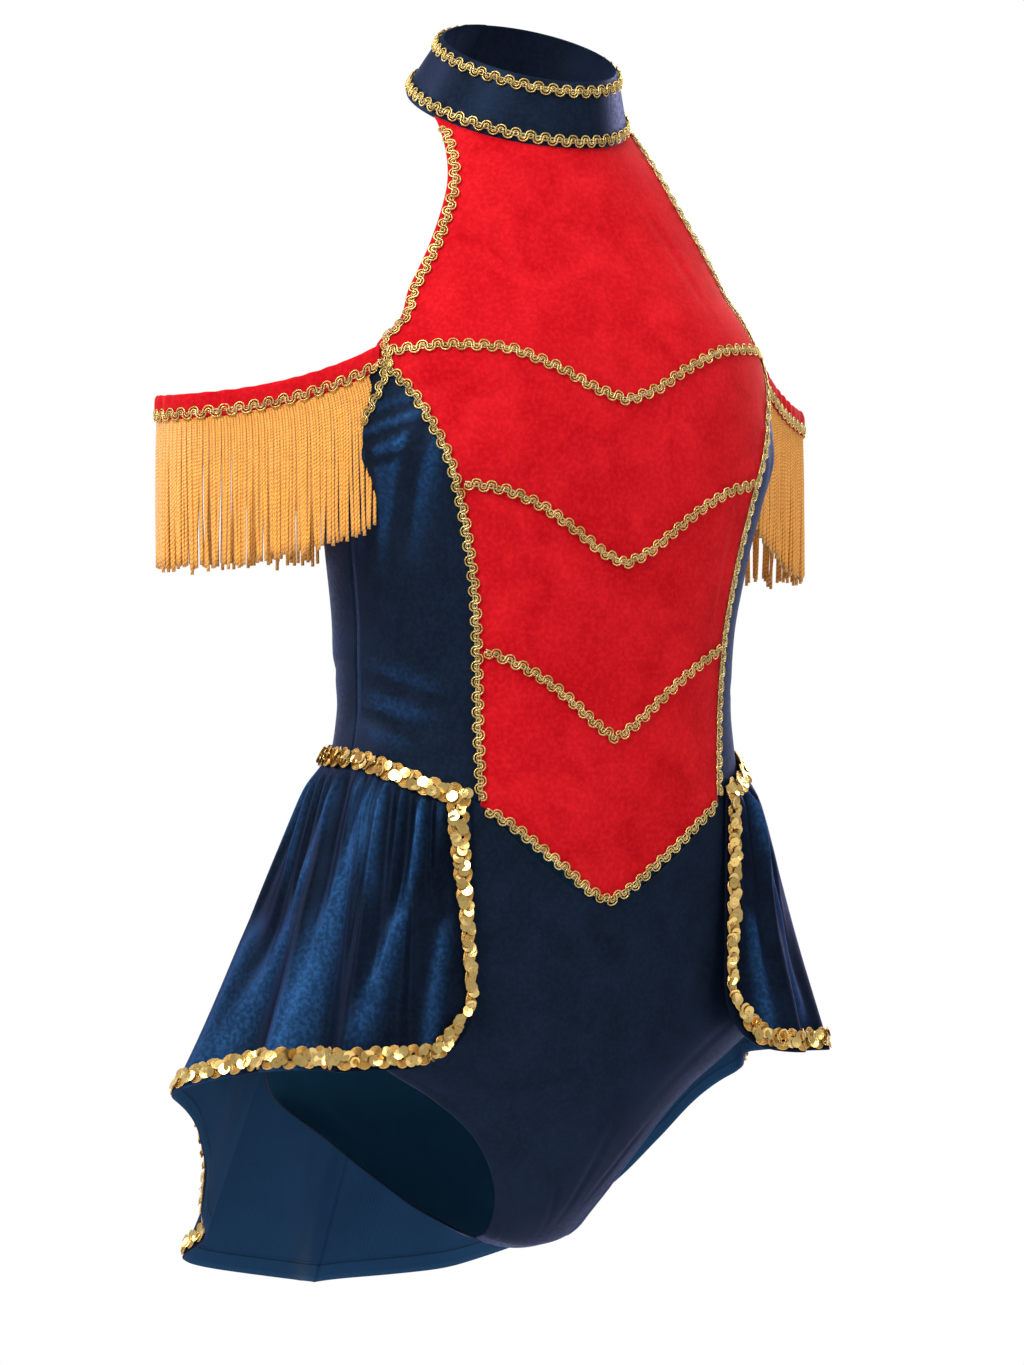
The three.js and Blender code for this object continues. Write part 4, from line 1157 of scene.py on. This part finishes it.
def gathers(seed):
    """Uneven gathers along the waist seam: place, width, rise, how far down and how far back each one runs,
    and how strong the painted highlight on it is."""
    draw = np.random.default_rng(seed)
    rows = []
    for i in range(GATHERS):
        rows.append({
            "share": (i + 0.5 + draw.uniform(-0.25, 0.25)) / GATHERS,
            "width": draw.uniform(0.011, 0.017),
            "rise": draw.uniform(2.6, 5.4),
            "reach": draw.uniform(0.4, 0.95),
            "drift": draw.uniform(-0.016, 0.016),
            "nap": draw.uniform(0.3, 1.08) ** 2,
        })
    return rows


GATHER_ROWS = {"R": gathers(3), "L": gathers(8)}


def lit_fold(row, share, down):
    """How far a place lies in one of the lit folds, from 0 to 1."""
    middle = row["share"] + row["shift"] * ease(down, 0.1, 1)
    away = (share - middle) / mix(row["thin"], row["wide"], ease(down, 0, 0.8))
    along = ease(down, row["start"], row["start"] + LIT_FADE_IN)
    along = along * (1 - ease(down, row["end"] - LIT_FADE_OUT, row["end"]))
    return row["strength"] * along * np.exp(-(away**2))


def skirt_angle(share):
    return mix(SKIRT_START, 180, share)


def peplum(share, down, side, mark):
    """Points of the peplum: share goes from the front edge to the centre back, down from seam to hem."""
    share, down = paired(share, down)
    angle = skirt_angle(share)
    level = waist_level(angle) - SEAM_GAP / 2
    top = figure(angle, level) + facing(figure, angle, level) * (SKIRT_LIFT + SKIRT_CLOTH)
    past_edge = hem["x"](share) - HEM[0]["x"]
    corner = np.where(share < HEM[2]["share"], np.maximum(CORNER_RADIUS - past_edge, 0), 0)
    rounding = CORNER_RADIUS - np.sqrt(CORNER_RADIUS**2 - np.minimum(corner, CORNER_RADIUS) ** 2)
    bottom = np.stack([hem["x"](share), hem["y"](share), hem["z"](share) + rounding], -1)
    spread = down ** mix(0.8, 1.0, ease(share, 0.2, 0.6))
    point = mix(top, bottom, np.stack([spread, spread, down], -1))
    edge = ease(share, 0, 0.045)
    sewn = edge * (1 - ease(share, 0.94, 1))
    rise = np.zeros(share.shape)
    sweep = np.zeros(share.shape)
    for row in GATHER_ROWS[mark]:
        away = (share - row["share"] - row["drift"] * down) / (row["width"] * (1 + 0.3 * down))
        swell = sewn * ease(down, 0, 0.1) * (1 - ease(down, row["reach"] * 0.4, row["reach"] + 0.15))
        rise = rise + row["rise"] * swell * np.exp(-(away**2))
    for row in LIT_FOLDS:
        rise = rise + LIT_RISE * sewn * lit_fold(row, share, down)
    for fold in FOLDS[mark]:
        away = (share - fold["share"]) / fold["width"]
        swell = edge * down ** fold["late"] * np.exp(-(away**2))
        rise = rise + fold["rise"] * swell
        sweep = sweep + fold["sweep"] * swell
    out = unit(np.stack([bottom[..., 0], bottom[..., 1] - 10, 0 * share], -1))
    x = point[..., 0] + out[..., 0] * rise - out[..., 1] * sweep
    y = point[..., 1] + out[..., 1] * rise + out[..., 0] * sweep
    return np.stack([side * x, y, point[..., 2]], -1)


def peplum_facing(share, down, side, mark, step=0.004):
    """The outward normal of the peplum."""
    across = peplum(np.minimum(share + step, 1), down, side, mark)
    across = across - peplum(np.maximum(share - step, 0), down, side, mark)
    drop = peplum(share, np.minimum(down + step, 1), side, mark)
    drop = drop - peplum(share, np.maximum(down - step, 0), side, mark)
    return unit(-side * np.cross(across, drop))


skirt_reverse = reverse_side("skirt_reverse", (0.006, 0.032, 0.085, 1), (0.011, 0.055, 0.135, 1), hem=0.036)
# The same blue velvet, with its pile and highlight colours painted darker: painted shade that offsets the
# stronger light falling on the skirt.
skirt_velvet = velvet(
    "skirt_velvet",
    deep=(0.0032, 0.0052, 0.0095, 1),
    lit=(0.0062, 0.0115, 0.025, 1),
    bright=(0.018, 0.068, 0.18, 1),
    sheen=BLUE_SHEEN,
    sheen_weight=0.05,
    lustre=0.06,
    roughness=BLUE_ROUGHNESS,
    gloss=BLUE_GLOSS,
)


def gather_painted_highlight(u, v, mark):
    """Painted highlight near the seam, on one flank of each gather, and in the lit folds below."""
    down = 1 - v
    light = np.zeros(u.shape)
    for row in GATHER_ROWS[mark]:
        flank = row["share"] + row["drift"] * down - PAINTED_HIGHLIGHT_SHIFT * row["width"]
        away = (u - flank) / (row["width"] * GATHER_FLANK)
        fade = 1 - ease(down, 0.06, 0.28 * row["reach"] + 0.1)
        light = light + GATHER_LIGHT * row["nap"] * fade * np.exp(-(away**2))
    for row in LIT_FOLDS:
        light = light + lit_fold(row, u, down)
    return np.clip(light, 0, 1)


for side, mark in SIDES:
    skirt = cloth(
        "velvet_tail_skirt_" + mark,
        SKIRT_COLUMNS,
        SKIRT_ROWS,
        lambda u, v, side=side, mark=mark: peplum(u, 1 - v, side, mark),
        [skirt_velvet, skirt_reverse],
        SKIRT_CLOTH,
        nap=lambda u, v, mark=mark: gather_painted_highlight(u, v, mark),
    )
    stands_for(skirt, "tail_skirt_" + mark)

# Sequin trim
# Gold trim, 14 mm wide: a wave of metallic cords with thin sequins, 6.4 mm across, sewn overlapping into each
# hollow of the wave. It runs down the front edges of the peplum and along its hem, and round the waist seam.
TRIM_WIDTH = 14.0
TRIM_PERIOD = 11.5
TRIM_CORD = 0.95
TRIM_CORDS = 4
TRIM_STEPS = 16
TRIM_SCROLL = -0.8
TRIM_LIFT = 0.6
TRIM_EDGE = 0.8  # of the trim's width that the sequins take up
TRIM_GROUND = (-2.2, 0, 2.2)
TRIM_GROUND_RADIUS = 0.6
TRIM_GROUND_SINK = 0.1
TRIM_GROUND_STEP = 4
SEQUIN_RADIUS = 3.2
SEQUIN_HOLE = 0.38
SEQUIN_THICK = 0.12
SEQUIN_CUP = 0.14
SEQUIN_STEP = 2.5
SEQUIN_SIDEWAYS = 1.8
SEQUIN_RISE = 0.35
SEQUIN_OVERLAP = 0.3
SEQUIN_END = 1.5
SEQUIN_TILT = 9
SEQUINS_IN_HOLLOW = 2
SEQUIN_SIDES = 12
# The trim runs down the front edge, round the corner and along the hem. Its inner side faces places further
# in on the peplum: shares beside the edge, the corner's share and level, and a level above the hem.
EDGE_RUN = (0.03, 0.9)
HEM_RUN = (0.05, 0.9985)
INSIDE_EDGE = 0.05
INSIDE_CORNER = (0.035, 0.93)
INSIDE_HEM = 0.92
CORNER_END = 0.11
CORNER_SLANT = 0.35
HEM_TRIM_INSET = 0.2
TRIM_CLEARANCE = 0.6
WAIST_RUN = (0.004, 0.9985)
TRIM_EASE = 9  # places over which the waist trim evens out the gathers

trim_thread = metal_thread("trim_thread", (0.5, 0.26, 0.05, 1), (0.9, 0.6, 0.2, 1), 0.34)
sequin_finish = Finish("sequin_foil")
foil = sequin_finish.noise(sequin_finish.place(), 70.0, 2.0)
sequin_foil = sequin_finish.shade({
    "Base Color": sequin_finish.colours(foil, (0.66, 0.42, 0.1, 1), (0.95, 0.72, 0.3, 1)),
    "Metallic": 0.95,
    "Roughness": sequin_finish.limits(foil, 0.3, 0.7, 0.16, 0.3),
    "Normal": sequin_finish.emboss(sequin_finish.noise(sequin_finish.place(), 120.0, 1.0), 0.1, 0.12),
})


def sequin_mesh():
    """A thin round disc, slightly cupped, with a hole in its middle."""
    bm = bmesh.new()
    bmesh.ops.create_circle(bm, cap_ends=False, segments=SEQUIN_SIDES, radius=SEQUIN_HOLE)
    rim = bmesh.ops.extrude_edge_only(bm, edges=bm.edges)["geom"]
    rim_verts = [e for e in rim if isinstance(e, bmesh.types.BMVert)]
    bmesh.ops.scale(bm, verts=rim_verts, vec=(SEQUIN_RADIUS / SEQUIN_HOLE, SEQUIN_RADIUS / SEQUIN_HOLE, 1))
    bmesh.ops.translate(bm, verts=rim_verts, vec=(0, 0, SEQUIN_CUP))
    bmesh.ops.solidify(bm, geom=bm.faces, thickness=SEQUIN_THICK)
    bmesh.ops.recalc_face_normals(bm, faces=bm.faces)
    bmesh.ops.scale(bm, verts=bm.verts, vec=(MM, MM, MM))
    mesh = bpy.data.meshes.new("sequin")
    bm.to_mesh(mesh)
    bm.free()
    return mesh


sequin = sequin_mesh()
sequin_rest = np.zeros(len(sequin.vertices) * 3)
sequin.vertices.foreach_get("co", sequin_rest)


def sew_on(bm, where, along, across, out):
    """One sequin at a place, given by its own axes."""
    sequin.vertices.foreach_set("co", sequin_rest)
    axes = Matrix((along, across, out)).transposed().to_4x4()
    sequin.transform(Matrix.Translation(Vector(where) * MM) @ axes)
    bm.from_mesh(sequin)


def sequin_trim(node, line):
    """A piece of sequin trim along a line through its middle."""
    bm = bmesh.new()
    for points, out in scroll_paths(
        line, TRIM_WIDTH - TRIM_EDGE, TRIM_PERIOD, TRIM_CORDS, TRIM_CORD, TRIM_SCROLL, TRIM_LIFT, TRIM_STEPS
    ):
        cord(bm, points, out, TRIM_CORD / 2)
    s = np.linspace(0, line.length, max(round(line.length / TRIM_GROUND_STEP), 2))
    for a in TRIM_GROUND:
        cord(bm, line.at(s, a, TRIM_LIFT - TRIM_GROUND_SINK), line.outward(s), TRIM_GROUND_RADIUS)
    close_cords(bm)
    laid = len(bm.faces)
    hollows = max(round(line.length / (TRIM_PERIOD / 2)), 1)
    for i in range(hollows):
        centre = (i + 0.5) / hollows * line.length
        hand = 1 if i % 2 else -1
        for j in range(SEQUINS_IN_HOLLOW):
            offset = j - (SEQUINS_IN_HOLLOW - 1) / 2
            s = float(np.clip(centre + offset * SEQUIN_STEP, SEQUIN_END, line.length - SEQUIN_END))
            a = hand * SEQUIN_SIDEWAYS + rng.normal(0, 0.5)
            rise = TRIM_LIFT + TRIM_CORD + SEQUIN_RISE + SEQUIN_OVERLAP * j + rng.uniform(0, 0.25)
            spot = line.at(s, a, rise)
            out = Vector(line.outward(s))
            across = Vector(unit(line.along(line.across, s)))
            along = across.cross(out).normalized()
            tilt = Matrix.Rotation(math.radians(SEQUIN_TILT + rng.normal(0, 11)), 3, across)
            lean = Matrix.Rotation(math.radians(rng.normal(0, 12)), 3, along)
            turned = lean @ tilt
            sew_on(bm, spot, turned @ along, turned @ across, turned @ out)
    bm.faces.ensure_lookup_table()
    for i, face in enumerate(bm.faces):
        face.smooth = i < laid
        face.material_index = int(i >= laid)
    piece = finished("sequins_" + node, bm, [trim_thread, sequin_foil], smooth=False)
    stands_for(piece, node)


for side, mark in SIDES:
    downs = np.linspace(*EDGE_RUN, 44)
    shares = np.linspace(*HEM_RUN, 150)
    corner_turn = np.maximum(0, CORNER_END - shares) * CORNER_SLANT
    edge_share = np.concatenate([0 * downs, [0.0], shares])
    edge_down = np.concatenate([downs, [1.0], 1 + 0 * shares])
    in_share = np.concatenate([INSIDE_EDGE + 0 * downs, [INSIDE_CORNER[0]], shares + corner_turn])
    in_down = np.concatenate([downs, [INSIDE_CORNER[1]], INSIDE_HEM + 0 * shares])
    edge = peplum(edge_share, edge_down, side, mark)
    inward = unit(peplum(np.minimum(in_share, 1), in_down, side, mark) - edge)
    out = peplum_facing(np.minimum((edge_share + in_share) / 2, 1), (edge_down + in_down) / 2, side, mark)
    hem_line = Line(edge + inward * (TRIM_WIDTH / 2 + HEM_TRIM_INSET), inward, out)
    sequin_trim("sequin_hem_" + mark, hem_line)

    shares = np.linspace(*WAIST_RUN, 120)
    angles = skirt_angle(shares)
    levels = waist_level(angles)
    half = TRIM_WIDTH / 2
    out = facing(figure, side * angles, levels)
    upper = worn(side * angles, levels + half) + out * TRIM_LIFT
    lower = peplum(shares, half / (levels - hem["z"](shares)), side, mark) + out * TRIM_LIFT
    padded = np.pad(lower, ((TRIM_EASE // 2, TRIM_EASE // 2), (0, 0)), "reflect", reflect_type="odd")
    lower = sum(padded[i:i + len(lower)] for i in range(TRIM_EASE)) / TRIM_EASE + out * TRIM_CLEARANCE
    waist_line = Line((upper + lower) / 2, lower - upper, out)
    sequin_trim("sequin_waist_" + mark, waist_line)

# Camera, light and floor
# The camera stands to the wearer's right at chest height. A large soft light in front on each side, one at
# each side and one above give the even light of a studio, on a pale floor before a white wall.
TARGET = Vector((-0.006, 0, -0.335))
AZIMUTH = math.radians(-33)
ELEVATION = math.radians(1)
DISTANCE = 4.2
PHOTO_HEIGHT = 1365
PIXEL = 0.57e-3  # metres to a pixel of the photo at the target
SENSOR = 36.0
FLOOR = -1.45
FLOOR_RADIUS = 6.2


def direction(azimuth, elevation):
    """The way from the costume to something that stands round it, with 0 in front of the wearer."""
    across = math.cos(elevation)
    return Vector((math.sin(azimuth) * across, -math.cos(azimuth) * across, math.sin(elevation)))


view_back = direction(AZIMUTH, ELEVATION)
camera = bpy.data.objects.new("camera", bpy.data.cameras.new("camera"))
bpy.context.collection.objects.link(camera)
camera.location = TARGET + view_back * DISTANCE
camera.rotation_euler = (-view_back).to_track_quat("-Z", "Y").to_euler()
camera.data.sensor_width = SENSOR
camera.data.lens = SENSOR * DISTANCE / (PIXEL * PHOTO_HEIGHT)
camera.data.clip_end = 60
bpy.context.scene.camera = camera
bpy.context.scene.view_settings.view_transform = "Standard"

LIGHTS = table("name azimuth elevation distance size power", [
    ("key", -62, 38, 2.6, 1.2, 62),
    ("fill", 24, 26, 3.2, 1.4, 28),
    ("top", -20, 76, 2.2, 1.2, 16),
    ("left side", 105, 18, 2.6, 1.1, 30),
    ("right side", -140, 24, 2.6, 1.1, 30),
])
for row in LIGHTS:
    lamp = bpy.data.lights.new(row["name"], "AREA")
    lamp.energy = row["power"]
    lamp.size = row["size"]
    away = direction(math.radians(row["azimuth"]), math.radians(row["elevation"]))
    light = bpy.data.objects.new(row["name"], lamp)
    light.location = TARGET + away * row["distance"]
    light.rotation_euler = away.to_track_quat("Z", "Y").to_euler()
    bpy.context.collection.objects.link(light)


class Surround(Finish):
    """The studio round the costume: a white wall behind it, and dimmer walls and ceiling elsewhere."""

    def __init__(self, world):
        world.use_nodes = True
        self.tree = world.node_tree
        self.shader = self.tree.nodes["Background"]


WALL_EDGE = 0.85  # cosine of the angle that the white wall spans to each side
world = bpy.data.worlds.new("studio")
bpy.context.scene.world = world
studio = Surround(world)
height = studio.node("SeparateXYZ", sockets={0: studio.place()}, output=2)
behind = studio.node("VectorMath", {"operation": "DOT_PRODUCT"}, {0: studio.place(), 1: -view_back}, output=1)
dim = 1 - studio.limits(behind, WALL_EDGE - 0.35, WALL_EDGE) * studio.limits(height, 0.1, 0.34, 1.0, 0.0)
studio.join(studio.shader.inputs["Color"], studio.colours(dim, (1, 1, 1, 1), (0.4, 0.4, 0.41, 1)))

bm = bmesh.new()
bmesh.ops.create_circle(bm, cap_ends=True, segments=96, radius=FLOOR_RADIUS)
bmesh.ops.translate(bm, verts=bm.verts, vec=(0, 0, FLOOR))
floor_finish = Finish("studio_floor")
speckle = floor_finish.noise(floor_finish.place(), 3.0, 2.0)
floor = finished("floor", bm, [floor_finish.shade({
    "Base Color": floor_finish.colours(speckle, (0.86, 0.86, 0.86, 1), (0.9, 0.9, 0.9, 1)),
    "Roughness": 0.7,
})])
